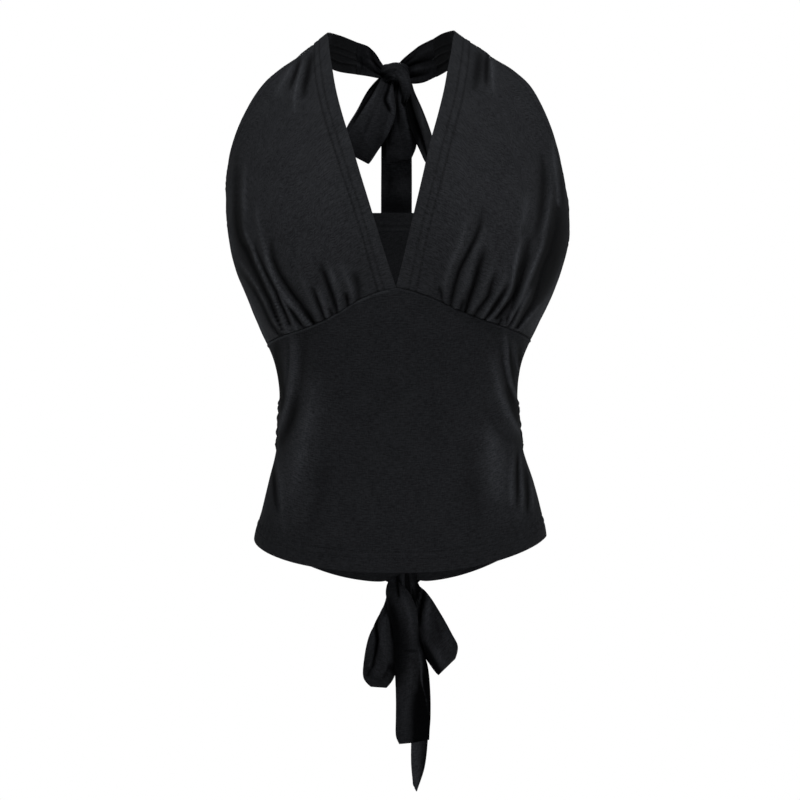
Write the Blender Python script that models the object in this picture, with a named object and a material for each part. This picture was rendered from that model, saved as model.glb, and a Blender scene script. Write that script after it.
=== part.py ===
"""Halter neck top: gathered cups tied behind the neck, a midriff front, a back and waist ties.

Metres, +Z up, and the front faces -Y. The origin is at the wearer's neck, level with the folds
where the straps pass over the shoulders. Sizes and tables are in millimetres.
"""

from math import pi

import bmesh
import bpy
import numpy as np

MM = 0.001

# Cloth and seams
WALL = 1.0                  # one layer of cloth
SEAM_GAP = 0.3              # clear space left at a seam
SQUARENESS = 2.35           # 2 is an ellipse round the body, more is squarer

# The body of the top, read upwards: height, middle, half width, front depth, back depth
BODY_RINGS = (
    (-590, 1.0, 149.0, 101, 107),
    (-560, 1.0, 150.0, 100, 105),
    (-530, 2.5, 152.4, 99, 103),
    (-500, 3.6, 145.8, 96, 98),
    (-469, 3.2, 138.0, 92, 90),
    (-438, 1.8, 129.2, 88, 82),
    (-406, 0.8, 125.8, 86, 78),
    (-375, 0.4, 124.5, 87, 78),
    (-343, 0.0, 130.0, 91, 81),
    (-311, 0.0, 144.0, 95, 83),
    (-280, 1.2, 158.2, 97, 85),
    (-249, 0.7, 170.5, 98, 87),
    (-217, 0.9, 178.0, 99, 89),
    (-186, -0.5, 179.5, 100, 90),
)

# Hem and the back's top edge
HEM_LEFT = -529.0
HEM_RIGHT = -526.5
HEM_MIDDLE_FRONT = -561.0
HEM_MIDDLE_BACK = -583.0
HEM_CURVE_LEFT = 1.35       # 1 falls straight to the middle, more keeps the side high
HEM_CURVE_RIGHT = 2.0
HEM_CURVE_BACK = 2.4
HEM_ARCH = 9.0              # how far the waist ties' knot draws the back hem up
HEM_ARCH_REACH = 14.0
BACK_TOP = -183.0
UNDERARM_DROP_LEFT = 3.0
UNDERARM_DROP_RIGHT = 25.0

# The seam under the bust falls from the apex, where the V ends, to the side seams.
# Share from the apex to the side, fall on the left, fall on the right
APEX_HEIGHT = -270.5
APEX_SHARE = 0.4925         # where the apex is, across the front from the left seam
BUST_SEAM = (
    (0.0, 0.0, 0.0),
    (0.1, 5.5, 5.5),
    (0.2, 14.0, 13.0),
    (0.3, 25.5, 22.0),
    (0.4, 34.5, 29.0),
    (0.5, 41.0, 35.0),
    (0.6, 45.5, 40.0),
    (0.7, 49.5, 44.5),
    (0.8, 53.0, 48.5),
    (0.9, 55.5, 51.0),
    (1.0, 57.5, 52.0),
)

# Cup sections, from the bust seam over the shoulder to the neck tie's seam.
# V edge: height, how much higher on the right, half gap between the two cups, middle, depth;
# outer edge: the same; handles that round the section: out and forward at the V edge, in and
# forward at the outer edge
CUP_SECTIONS = (
    (-270.5, 0, 0.3, -2.5, -98, -325, 0, 133.0, 0.0, 0, 80, 2, 0, 60),
    (-233, 0, 11.5, -3.8, -103, -290, -3, 152.0, 0.0, 0, 65, 38, 0, 108),
    (-192, 0, 22.4, -5.0, -107, -250, -6, 169.5, 0.0, 0, 60, 40, 0, 116),
    (-156, 0, 32.0, -6.3, -103, -197, -11, 179.0, 0.2, 0, 58, 28, 0, 98),
    (-125, 0, 39.8, -7.4, -95, -159, -6, 176.3, -2.0, -14, 52, 14, -1, 68),
    (-94, 0, 48.6, -8.0, -83, -125, -2, 169.0, -3.2, -33, 45, 5, 12, 40),
    (-67, 0, 55.2, -8.2, -65, -94, 0, 157.6, -3.2, -43, 36, 3, 16, 24),
    (-43, 0, 59.6, -8.2, -43, -64, 0, 141.0, -2.2, -45, 28, 6, 16, 14),
    (-22, 0, 63.4, -7.9, -22, -45, 0, 123.0, -2.2, -38, 20, 8, 16, 6),
    (-7, 0.5, 65.2, -7.6, -8, -31, 0, 104.2, -3.3, -23, 14, 6, 12, 1),
    (1.4, 1.0, 66.0, -7.3, 3, -18.6, 0, 87.6, -4.4, -2, 8, 0, 8, -2),
    (2.0, 1.2, 54.5, -6.9, 25, -35.6, -0.5, 61.0, -8.4, 24, 2, -2, 2, -2),
    (-3.4, 1.6, 37.7, -3.0, 47, -39.7, -1.0, 41.0, -0.5, 47, 0, 0, 0, 0),
)
SIDE_SECTIONS = 3           # up to this section the outer edge is the side seam
SEAM_REACH = 2.2            # sections over which the bust seam's shape fades out
PUFF = 1.6                  # how far the gathers stand over the bust seam
EDGE_CALM = 6.0             # folds die out this near to a seam or an edge

# Folds, each a soft ridge or trough along a curve. Height (a trough's is negative), half width,
# start (0.5 begins full, 0 begins at nothing), then where it begins, bends and ends: the share
# across and the section
CUP_FOLDS_LEFT = (
    (-4.0, 9.0, 0.5, 0.66, 0.0, 0.66, 1.3, 0.80, 3.4),
    (3.0, 6.0, 0.5, 0.60, 0.0, 0.575, 1.2, 0.64, 2.8),
    (2.5, 6.0, 0.5, 0.525, 0.0, 0.505, 1.0, 0.525, 2.6),
    (-2.5, 5.0, 0.5, 0.465, 0.0, 0.47, 0.9, 0.49, 1.9),
    (1.8, 4.5, 0.5, 0.40, 0.0, 0.385, 0.6, 0.37, 1.5),
    (-2.0, 3.6, 0.5, 0.335, 0.0, 0.315, 0.6, 0.295, 1.4),
    (-2.0, 3.2, 0.5, 0.285, 0.0, 0.265, 0.5, 0.26, 1.2),
    (-2.0, 4.5, 0.0, 0.34, 6.4, 0.43, 8.1, 0.44, 9.4),
    (-1.8, 4.5, 0.0, 0.53, 6.4, 0.53, 7.7, 0.55, 9.4),
    (1.6, 4.0, 0.0, 0.44, 6.2, 0.49, 7.7, 0.50, 9.2),
)
CUP_FOLDS_RIGHT = (
    (1.8, 5.0, 0.5, 0.24, 0.0, 0.225, 0.8, 0.25, 2.0),
    (-2.0, 3.6, 0.5, 0.285, 0.0, 0.27, 0.5, 0.255, 1.2),
    (-2.5, 4.5, 0.5, 0.36, 0.0, 0.33, 0.7, 0.325, 1.5),
    (-2.2, 4.0, 0.5, 0.45, 0.0, 0.44, 0.7, 0.435, 1.5),
    (2.8, 5.5, 0.5, 0.52, 0.0, 0.505, 1.2, 0.46, 2.4),
    (-2.5, 4.5, 0.5, 0.565, 0.0, 0.55, 0.8, 0.53, 1.8),
    (3.0, 6.0, 0.5, 0.635, 0.0, 0.62, 1.2, 0.655, 2.3),
    (-4.0, 9.0, 0.5, 0.69, 0.2, 0.665, 1.8, 0.66, 3.3),
    (-2.0, 4.5, 0.0, 0.40, 6.6, 0.53, 7.7, 0.62, 9.2),
    (1.6, 4.5, 0.0, 0.42, 6.4, 0.60, 7.8, 0.70, 9.0),
)

# Gathers sewn into the bust seam: share across, depth, reach in sections
GATHERS_LEFT = (
    (0.245, 0.9, 0.35),
    (0.268, 1.3, 0.50),
    (0.292, 1.5, 0.45),
    (0.318, 1.3, 0.60),
    (0.345, 1.6, 0.55),
    (0.380, 1.5, 0.70),
    (0.425, 1.7, 0.60),
    (0.465, 1.4, 0.75),
    (0.503, 1.3, 0.50),
    (0.545, 1.5, 0.65),
    (0.585, 1.2, 0.50),
    (0.635, 1.3, 0.60),
)
GATHERS_RIGHT = (
    (0.222, 0.8, 0.30),
    (0.262, 1.4, 0.55),
    (0.312, 1.2, 0.40),
    (0.363, 1.7, 0.60),
    (0.395, 1.3, 0.50),
    (0.432, 1.2, 0.45),
    (0.470, 1.6, 0.70),
    (0.508, 1.3, 0.50),
    (0.542, 1.5, 0.65),
    (0.600, 1.6, 0.60),
    (0.638, 1.3, 0.50),
    (0.676, 1.2, 0.60),
)
GATHER_WIDTH = 2.3

# Drag lines towards the waist ties' seams: as CUP_FOLDS, with the share up the panel
FRONT_FOLDS = (
    (2.6, 7.0, 0.0, 0.075, 0.52, 0.15, 0.77, 0.19, 0.99),
    (-3.0, 7.5, 0.0, 0.115, 0.49, 0.195, 0.68, 0.19, 0.86),
    (2.4, 8.0, 0.0, 0.12, 0.47, 0.225, 0.60, 0.255, 0.80),
    (1.8, 10.0, 0.0, 0.17, 0.22, 0.20, 0.38, 0.15, 0.48),
    (-2.2, 6.0, 0.0, 0.13, 0.16, 0.07, 0.34, 0.05, 0.46),
    (2.4, 6.5, 0.0, 0.955, 0.66, 0.88, 0.78, 0.82, 0.99),
    (-2.4, 6.5, 0.0, 0.94, 0.58, 0.855, 0.73, 0.835, 0.93),
    (2.0, 7.0, 0.0, 0.93, 0.53, 0.84, 0.70, 0.80, 0.86),
    (-1.8, 6.0, 0.0, 0.85, 0.16, 0.88, 0.34, 0.945, 0.50),
    (1.6, 6.0, 0.0, 0.87, 0.12, 0.91, 0.30, 0.955, 0.47),
)
BACK_FOLDS = (
    (2.2, 8.0, 0.0, 0.05, 0.52, 0.12, 0.66, 0.15, 0.86),
    (-2.4, 8.0, 0.0, 0.06, 0.50, 0.17, 0.60, 0.23, 0.76),
    (-2.0, 9.0, 0.0, 0.16, 0.14, 0.13, 0.28, 0.05, 0.40),
    (2.2, 8.0, 0.0, 0.95, 0.50, 0.87, 0.64, 0.85, 0.84),
    (-2.4, 8.0, 0.0, 0.94, 0.49, 0.82, 0.60, 0.78, 0.75),
    (-2.0, 9.0, 0.0, 0.85, 0.12, 0.88, 0.27, 0.95, 0.39),
)

# Ties and bows. One edge: across, depth, height; the other edge: the same; belly of the middle
# towards the front; height of the lengthwise gathers
NECK_STRAP_LEFT = (
    (-40.4, 47.5, -5.0, -41.2, 47.5, -38.7, 0.0, 0.0),
    (-32.0, 55.5, -8.0, -32.0, 55.5, -39.4, 0.5, 0.2),
    (-24.5, 61.5, -14.8, -25.0, 61.5, -40.0, 0.5, 0.4),
    (-19.7, 65.0, -25.0, -19.7, 65.0, -40.6, 0.0, 0.4),
)
NECK_STRAP_RIGHT = (
    (34.4, 47.5, -1.8, 40.2, 47.5, -40.7, 0.0, 0.0),
    (23.5, 55.5, -6.4, 29.0, 55.5, -45.5, 0.5, 0.2),
    (17.5, 61.0, -11.5, 20.5, 61.0, -45.5, 0.5, 0.4),
    (13.5, 65.0, -17.5, 13.5, 65.0, -41.5, 0.0, 0.4),
)
NECK_LOOP_LEFT = (
    (-21.0, 62.0, -43.0, -9.0, 62.0, -49.8, 0.0, 0.2),
    (-33.5, 56.0, -57.5, -3.8, 56.0, -62.0, 4.0, 0.6),
    (-45.5, 52.0, -79.5, -3.8, 52.0, -81.0, 5.0, 0.4),
    (-53.5, 53.0, -97.5, -11.0, 53.0, -101.5, 3.0, 0.0),
    (-58.5, 57.0, -110.0, -24.0, 58.0, -121.0, 1.0, 0.0),
    (-60.5, 63.0, -115.0, -31.0, 64.0, -131.0, 0.0, 0.0),
    (-60.0, 69.0, -109.0, -29.0, 70.0, -126.0, -1.0, 0.0),
    (-56.5, 73.0, -95.0, -17.0, 73.0, -106.0, -2.0, 0.0),
    (-47.5, 73.0, -77.0, -8.5, 72.5, -83.0, -2.0, 0.4),
    (-35.0, 70.5, -57.0, -6.5, 70.0, -64.0, -1.5, 0.6),
    (-21.0, 68.0, -42.8, -9.0, 67.0, -49.8, 0.0, 0.2),
)
NECK_LOOP_RIGHT = (
    (5.5, 62.5, -47.6, 12.2, 67.0, -44.5, 0.0, 0.0),
    (6.0, 57.0, -60.0, 14.0, 76.0, -52.0, 1.0, 0.4),
    (11.0, 54.0, -78.0, 19.5, 82.0, -68.0, 1.0, 0.2),
    (18.5, 54.0, -99.0, 27.0, 85.0, -90.0, 1.0, 0.0),
    (25.5, 56.5, -119.0, 34.0, 86.5, -108.0, 0.5, 0.0),
    (28.5, 59.0, -129.0, 38.0, 88.0, -116.0, 0.0, 0.0),
    (31.0, 61.5, -125.0, 41.5, 89.5, -112.0, -0.5, 0.0),
    (27.0, 62.5, -106.0, 36.0, 90.0, -92.0, -1.0, 0.0),
    (20.0, 62.0, -86.0, 27.5, 87.0, -70.0, -1.0, 0.2),
    (14.0, 63.5, -66.0, 18.5, 80.0, -53.0, -1.0, 0.3),
    (11.5, 65.0, -45.5, 14.2, 70.0, -41.5, 0.0, 0.0),
)
NECK_TAIL_SHORT = (
    (-6.8, 64.5, -47.4, 4.0, 64.5, -47.4, 0.0, 0.3),
    (-8.0, 62.5, -66.0, 4.5, 62.5, -66.0, 2.0, 0.6),
    (-11.5, 63.0, -84.0, 12.0, 63.0, -84.0, 3.0, 0.4),
    (-13.0, 65.0, -104.0, 16.5, 65.0, -104.0, 2.0, 0.2),
    (-13.0, 67.5, -119.0, 16.3, 67.5, -118.5, 1.0, 0.0),
    (-13.0, 69.5, -131.0, 14.0, 69.5, -126.0, 1.0, 0.0),
)
NECK_TAIL_LONG = (
    (-6.6, 69.5, -47.4, 4.0, 69.5, -47.4, 0.0, 0.3),
    (-16.5, 77.5, -78.0, 12.5, 77.5, -78.0, 0.0, 0.5),
    (-17.8, 82.5, -108.0, 14.5, 82.5, -108.0, 0.0, 0.2),
    (-18.3, 87.5, -142.0, 14.8, 87.5, -142.0, 0.0, 0.0),
    (-18.3, 92.5, -180.0, 14.8, 92.5, -180.0, 0.0, 0.0),
    (-18.3, 94.5, -220.0, 14.8, 94.5, -220.0, 0.0, 0.0),
    (-18.3, 94.5, -258.0, 14.8, 94.5, -258.0, 0.0, 0.0),
    (-18.3, 93.5, -294.0, 14.8, 93.5, -302.0, 0.0, 0.0),
)
WAIST_LOOP_LEFT = (
    (-11.8, 109.0, -594.0, -8.8, 112.0, -603.2, 0.0, 0.0),
    (-17.5, 104.0, -606.0, -7.5, 106.0, -612.0, 1.5, 0.3),
    (-28.0, 101.0, -628.0, -6.5, 105.5, -636.0, 3.0, 0.4),
    (-35.5, 101.0, -655.0, -5.5, 107.0, -661.0, 4.0, 0.2),
    (-39.5, 104.0, -681.0, -3.5, 110.0, -682.0, 2.0, 0.0),
    (-36.5, 110.0, -693.5, -11.0, 116.0, -697.5, 0.0, 0.0),
    (-33.5, 116.0, -684.0, -4.0, 121.0, -684.0, -1.0, 0.0),
    (-29.5, 118.5, -659.0, -3.0, 123.0, -662.0, -2.0, 0.0),
    (-23.5, 117.5, -634.0, -3.5, 122.5, -637.0, -2.0, 0.3),
    (-17.0, 115.5, -611.0, -5.0, 119.0, -615.0, -1.0, 0.3),
    (-11.8, 114.5, -594.5, -8.6, 116.5, -603.6, 0.0, 0.0),
)
WAIST_LOOP_RIGHT = (
    (25.8, 108.0, -590.5, 22.6, 110.0, -605.0, 0.0, 0.0),
    (35.5, 105.0, -600.0, 22.8, 106.0, -614.5, 1.5, 0.3),
    (47.5, 103.0, -618.5, 24.5, 104.0, -634.0, 3.0, 0.4),
    (59.5, 103.0, -640.0, 29.0, 103.0, -657.0, 3.0, 0.2),
    (66.0, 106.0, -655.0, 42.0, 106.0, -678.0, 1.0, 0.0),
    (67.5, 111.0, -661.0, 44.5, 111.0, -686.5, 0.0, 0.0),
    (64.5, 116.0, -656.0, 39.5, 116.0, -680.0, -1.0, 0.0),
    (57.5, 119.5, -640.0, 24.5, 119.5, -658.0, -2.0, 0.0),
    (46.0, 119.5, -618.0, 20.5, 119.0, -635.0, -2.0, 0.3),
    (34.0, 117.0, -600.5, 20.0, 116.5, -616.0, -1.0, 0.3),
    (25.8, 114.0, -590.5, 22.6, 115.0, -605.0, 0.0, 0.0),
)
WAIST_TAIL_SHORT = (
    (-5.0, 108.5, -604.6, 15.5, 108.5, -604.6, 0.0, 0.3),
    (-5.5, 103.5, -615.0, 19.0, 104.0, -615.0, 1.5, 0.5),
    (-5.0, 101.5, -632.0, 21.5, 104.5, -632.0, 3.0, 0.4),
    (-3.5, 101.5, -660.0, 25.0, 108.0, -660.0, 4.0, 0.2),
    (-2.0, 102.5, -690.0, 31.5, 111.0, -690.0, 4.5, 0.0),
    (-1.5, 103.5, -725.0, 34.0, 113.0, -725.0, 4.5, 0.0),
    (-2.0, 104.5, -756.0, 34.5, 114.0, -753.5, 4.0, 0.0),
)
WAIST_TAIL_LONG = (
    (-1.5, 116.5, -604.8, 13.5, 116.5, -604.8, 0.0, 0.3),
    (3.0, 120.5, -630.0, 20.0, 121.0, -630.0, 0.0, 0.4),
    (9.0, 122.5, -670.0, 30.0, 127.5, -670.0, 0.0, 0.2),
    (13.0, 122.5, -715.0, 33.0, 130.5, -715.0, 0.0, 0.0),
    (14.5, 121.5, -750.0, 32.5, 131.0, -750.0, 0.0, 0.0),
    (14.6, 120.5, -780.0, 28.5, 129.0, -785.0, 0.0, 0.0),
    (15.5, 120.0, -804.0, 19.5, 122.5, -811.0, 0.0, 0.0),
)
TIE_FOLDS = 3               # lengthwise gathers across a tie

# Knots: middle across, depth, height; half size each way
NECK_KNOT = (-3.1, 66.0, -34.8, 15.9, 10.0, 12.0)
WAIST_KNOT = (7.0, 113.0, -595.0, 16.5, 9.5, 9.0)
KNOT_SQUARENESS = 3.5

# Waist ties, laid on the back's outside. Share from the side seam to the middle of the back and
# height, of the lower edge and of the upper edge; distance out from the back; gathers
WAIST_TIE = (
    (0.004, -429.0, 0.004, -391.0, 1.8, 0.0),
    (0.105, -436.0, 0.195, -402.0, 2.6, 0.0),
    (0.285, -462.0, 0.415, -432.0, 3.4, 0.1),
    (0.485, -501.0, 0.615, -472.0, 3.4, 0.1),
    (0.690, -541.0, 0.800, -518.0, 3.8, 0.3),
    (0.825, -567.0, 0.915, -552.0, 5.0, 0.5),
    (0.905, -580.0, 0.975, -570.0, 6.2, 0.5),
    (0.933, -586.0, 0.996, -585.2, 6.9, 0.4),
)
WAIST_TIE_SHIFT = 0.014     # share of the back that the knot is right of its middle

# Grids: how the columns and rows of a panel are spread, an even count against the share it gets
CUP_COLUMNS = ((0.0, 0.11, 0.88, 1.0), (0.0, 0.215, 0.70, 1.0))
CUP_ROWS = ((0.0, 0.12, 0.40, 0.70, 1.0), (0.0, 0.20, 1.8, 6.0, 12.0))
BACK_COLUMNS = ((0.0, 0.37, 0.63, 1.0), (0.0, 0.45, 0.55, 1.0))
EVEN = ((0.0, 1.0), (0.0, 1.0))

BLACK_JERSEY = (0.012, 0.012, 0.014, 1.0)


def read_table(table, share):
    """A table's columns, smooth through every row, at a share of the way down the table."""
    rows = np.asarray(table, float)
    last = len(rows) - 1
    place = min(max(share, 0.0), 1.0) * last
    index = min(int(place), last - 1)
    step = place - index
    here, after = rows[index], rows[index + 1]
    before = rows[index - 1] if index > 0 else 2 * here - after
    beyond = rows[index + 2] if index + 2 <= last else 2 * after - here
    return 0.5 * (
        2 * here
        + (after - before) * step
        + (2 * before - 5 * here + 4 * after - beyond) * step ** 2
        + (3 * here - before - 3 * after + beyond) * step ** 3
    )


def read_at(table, value):
    """A table's columns where its first column has a value."""
    keys = [row[0] for row in table]
    share = np.interp(value, keys, np.linspace(0, 1, len(keys)))
    return read_table(table, share)


def fade(value):
    """1 at 0, smoothly down to 0 at 1."""
    value = np.clip(value, 0.0, 1.0)
    return 1 - value * value * (3 - 2 * value)


def spread(count, columns):
    """Shares for an even count of steps, so that they crowd where the form is finest."""
    return np.interp(np.linspace(0, 1, count + 1), columns[0], columns[1])


def points_along(line, shares):
    """Points at shares of a line's length."""
    steps = np.linalg.norm(np.diff(line, axis=0), axis=1)
    length = np.concatenate(([0.0], np.cumsum(steps)))
    wanted = np.asarray(shares) * length[-1]
    return np.stack([np.interp(wanted, length, axis) for axis in line.T], axis=-1)


def body_point(height, share, facing):
    """A point on the body's front (facing -1) or back (1), share 0 at the left seam, 1 right."""
    _, middle, half, front, back = read_at(BODY_RINGS, height)
    depth = front if facing < 0 else back
    turn = np.linspace(0, pi, 97)
    cosine = np.cos(turn)
    sine = np.clip(np.sin(turn), 0, 1)
    across = middle - half * np.sign(cosine) * np.abs(cosine) ** (2 / SQUARENESS)
    deep = facing * depth * sine ** (2 / SQUARENESS)
    x, y = points_along(np.column_stack((across, deep)), share)
    return np.array([x, y, height])


def hem_height(share, facing):
    """Height of the hem: it falls towards the middle of the front and of the back."""
    side, curve = (HEM_LEFT, HEM_CURVE_LEFT) if share < 0.5 else (HEM_RIGHT, HEM_CURVE_RIGHT)
    x, y, _ = body_point(side, share, facing)
    _, _, _, front, back = read_at(BODY_RINGS, side)
    if facing < 0:
        return side + (HEM_MIDDLE_FRONT - side) * (abs(y) / front) ** curve
    arch = HEM_ARCH * np.exp(-((x - WAIST_KNOT[0]) / HEM_ARCH_REACH) ** 2)
    return side + (HEM_MIDDLE_BACK - side) * (abs(y) / back) ** HEM_CURVE_BACK + arch


def bust_seam_height(share):
    """Height of the seam under the bust, share 0 at the left seam, 1 at the right."""
    if share < APEX_SHARE:
        return APEX_HEIGHT - read_at(BUST_SEAM, 1 - share / APEX_SHARE)[1]
    return APEX_HEIGHT - read_at(BUST_SEAM, (share - APEX_SHARE) / (1 - APEX_SHARE))[2]


def back_top_height(share):
    """Height of the back's top edge: level across the middle, lower at the right underarm."""
    side = 2 * share - 1
    drop = UNDERARM_DROP_LEFT if side < 0 else UNDERARM_DROP_RIGHT
    return BACK_TOP - drop * abs(side) ** 3


def fold_heights(folds, across, along, unit):
    """Height of the folds over a grid of shares across and places along; unit is mm a share."""
    heights = np.zeros(np.broadcast(across, along).shape)
    for height, width, start, a, at_a, b, at_b, c, at_c in folds:
        place = np.clip(along, at_a, at_c)
        middle = (
            a * (place - at_b) * (place - at_c) / ((at_a - at_b) * (at_a - at_c))
            + b * (place - at_a) * (place - at_c) / ((at_b - at_a) * (at_b - at_c))
            + c * (place - at_a) * (place - at_b) / ((at_c - at_a) * (at_c - at_b))
        )
        step = (along - at_a) / (at_c - at_a)
        inside = (step >= 0) & (step <= 1)
        strength = np.where(inside, np.sin(pi * (start + (1 - start) * step)), 0.0)
        heights += height * strength * np.exp(-((across - middle) * unit / width) ** 2)
    return heights


def push_out(points, heights):
    """Move a grid of points along its normals, away from the body's middle."""
    normals = np.cross(np.gradient(points, axis=1), np.gradient(points, axis=0))
    normals /= np.linalg.norm(normals, axis=2, keepdims=True)
    middle = tuple(size // 2 for size in heights.shape)
    outwards = np.dot(normals[middle][:2], points[middle][:2])
    return points + normals * (heights * np.sign(outwards))[..., None]


def edge_calm(shares, width):
    """0 at both edges of a panel, 1 inside."""
    edge = np.minimum(shares, 1 - shares) * width
    return 1 - np.exp(-(edge / EDGE_CALM) ** 2)


def panel(columns, rows, low_edge, high_edge, facing, folds):
    """A panel of the body between two edges' heights, with its folds."""
    inset = SEAM_GAP / 2 / 400
    columns = inset + columns * (1 - 2 * inset)
    points = np.empty((len(rows), len(columns), 3))
    for index, share in enumerate(columns):
        low, high = low_edge(share), high_edge(share)
        for number, row in enumerate(rows):
            points[number, index] = body_point(low + (high - low) * row, share, facing)
    across, along = np.meshgrid(columns, rows)
    width = np.linalg.norm(np.diff(points, axis=1), axis=2).sum(axis=1)[:, None]
    heights = fold_heights(folds, across, along, width) * edge_calm(across, width)
    return push_out(points, heights)


def cup_line(side, place):
    """Points across a cup's section, V edge to outer edge; side is -1 left, 1 right."""
    row = read_table(CUP_SECTIONS, place / (len(CUP_SECTIONS) - 1))
    height, tilt, half, middle, deep = row[:5]
    inner = np.array([middle + side * half, deep, height + side * tilt])
    height, tilt, half, middle, deep = row[5:10]
    outer = np.array([middle + side * half, deep, height + side * tilt])
    v_out, v_forward, side_in, side_forward = row[10:]
    seam = body_point(outer[2], 0.0 if side < 0 else 1.0, -1)
    outer += (seam - outer) * fade(place - SIDE_SECTIONS)
    inner_handle = inner + (side * v_out, -v_forward, 0)
    outer_handle = outer - (side * side_in, side_forward, 0)
    step = np.linspace(0, 1, 41)[:, None]
    line = (
        inner * (1 - step) ** 3
        + 3 * inner_handle * step * (1 - step) ** 2
        + 3 * outer_handle * step ** 2 * (1 - step)
        + outer * step ** 3
    )
    line[:, 2] = np.linspace(inner[2], outer[2], 41)
    return line


def cup(side, columns, places):
    """A cup: its sections, joined to the bust seam, with its gathers and folds."""
    if side < 0:
        across = APEX_SHARE * (1 - columns)
    else:
        across = APEX_SHARE + (1 - APEX_SHARE) * columns
    seam = np.array([body_point(bust_seam_height(one) + SEAM_GAP, one, -1) for one in across])
    shift = seam - points_along(cup_line(side, 0), columns)
    points = np.array([
        points_along(cup_line(side, place), columns) + shift * fade(place / SEAM_REACH)
        for place in places
    ])
    share, place = np.meshgrid(columns, places)
    width = np.linalg.norm(np.diff(points, axis=1), axis=2).sum(axis=1)[:, None]
    folds = CUP_FOLDS_LEFT if side < 0 else CUP_FOLDS_RIGHT
    gathers = GATHERS_LEFT if side < 0 else GATHERS_RIGHT
    heights = fold_heights(folds, share, place, width)
    for at, depth, reach in gathers:
        narrow = GATHER_WIDTH * (1 + place)
        trough = np.exp(-((share - at) * width / narrow) ** 2)
        heights -= depth * trough * fade(place / reach)
    first, last = gathers[0][0], gathers[-1][0]
    gathered = fade((first - share) * 20) * fade((share - last) * 20)
    heights += PUFF * gathered * fade(place / 0.9)
    rise = 0.35 + 0.65 * (1 - np.exp(-place / 0.12))
    return push_out(points, heights * rise * edge_calm(share, width))


def strip(table, columns, rows):
    """A strip of cloth between its two edges' tables."""
    across = columns[:, None]
    points = []
    for share in rows:
        row = read_table(table, share)
        line = row[:3] + (row[3:6] - row[:3]) * across
        gathers = row[7] * np.cos(columns * 2 * pi * TIE_FOLDS)
        line[:, 1] -= row[6] * 4 * columns * (1 - columns) + gathers
        points.append(line)
    return np.array(points)


def waist_tie(side, columns, rows):
    """A waist tie, from its side seam round the outside of the back down to the knot."""
    points = []
    for share in rows:
        row = read_table(WAIST_TIE, share)
        lower, upper, out, gather = row[:2], row[2:4], row[4], row[5]
        line = []
        for across, height in lower + (upper - lower) * columns[:, None]:
            across = across / 2 if side < 0 else 1 - across / 2
            across += WAIST_TIE_SHIFT * share ** 4
            line.append(body_point(height, across, 1))
        line = np.array(line)
        outwards = line * (1, 1, 0) - (line[0][0] / 2, 0, 0)
        outwards /= np.linalg.norm(outwards, axis=1, keepdims=True)
        gathers = gather * np.cos(columns * 2 * pi * TIE_FOLDS)
        points.append(line + outwards * (out + gathers)[:, None])
    return np.array(points)


def jersey(name):
    material = bpy.data.materials.new(name)
    material.use_nodes = True
    shader = material.node_tree.nodes["Principled BSDF"]
    shader.inputs["Base Color"].default_value = BLACK_JERSEY
    shader.inputs["Roughness"].default_value = 0.85
    shader.inputs["Metallic"].default_value = 0.0
    return material


def add_piece(name, shape):
    mesh = bpy.data.meshes.new(name)
    shape.to_mesh(mesh)
    shape.free()
    mesh.shade_smooth()
    mesh.materials.append(jersey(name))
    piece = bpy.data.objects.new(name, mesh)
    bpy.context.scene.collection.objects.link(piece)
    return piece


def cloth(name, points):
    """A wall of cloth through a grid of points, its rows along and its columns across."""
    rows, columns = points.shape[0] - 1, points.shape[1] - 1
    sheet = bmesh.new()
    bmesh.ops.create_grid(sheet, x_segments=columns, y_segments=rows, size=1)
    for vert in sheet.verts:
        column = round((vert.co.x + 1) / 2 * columns)
        row = round((vert.co.y + 1) / 2 * rows)
        vert.co = points[row, column] * MM
    piece = add_piece(name, sheet)
    wall = piece.modifiers.new("wall", "SOLIDIFY")
    wall.thickness = WALL * MM
    wall.offset = 0
    return piece


def knot(name, sizes):
    """A tied knot: a rounded block, flattened towards the sides that its strips leave by."""
    ball = bmesh.new()
    bmesh.ops.create_uvsphere(ball, u_segments=16, v_segments=10, radius=1)
    centre, half = np.array(sizes[:3]), np.array(sizes[3:])
    for vert in ball.verts:
        unit = np.array(vert.co)
        square = unit / np.sum(np.abs(unit) ** KNOT_SQUARENESS) ** (1 / KNOT_SQUARENESS)
        vert.co = (centre + half * square) * MM
    return add_piece(name, ball)


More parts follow.
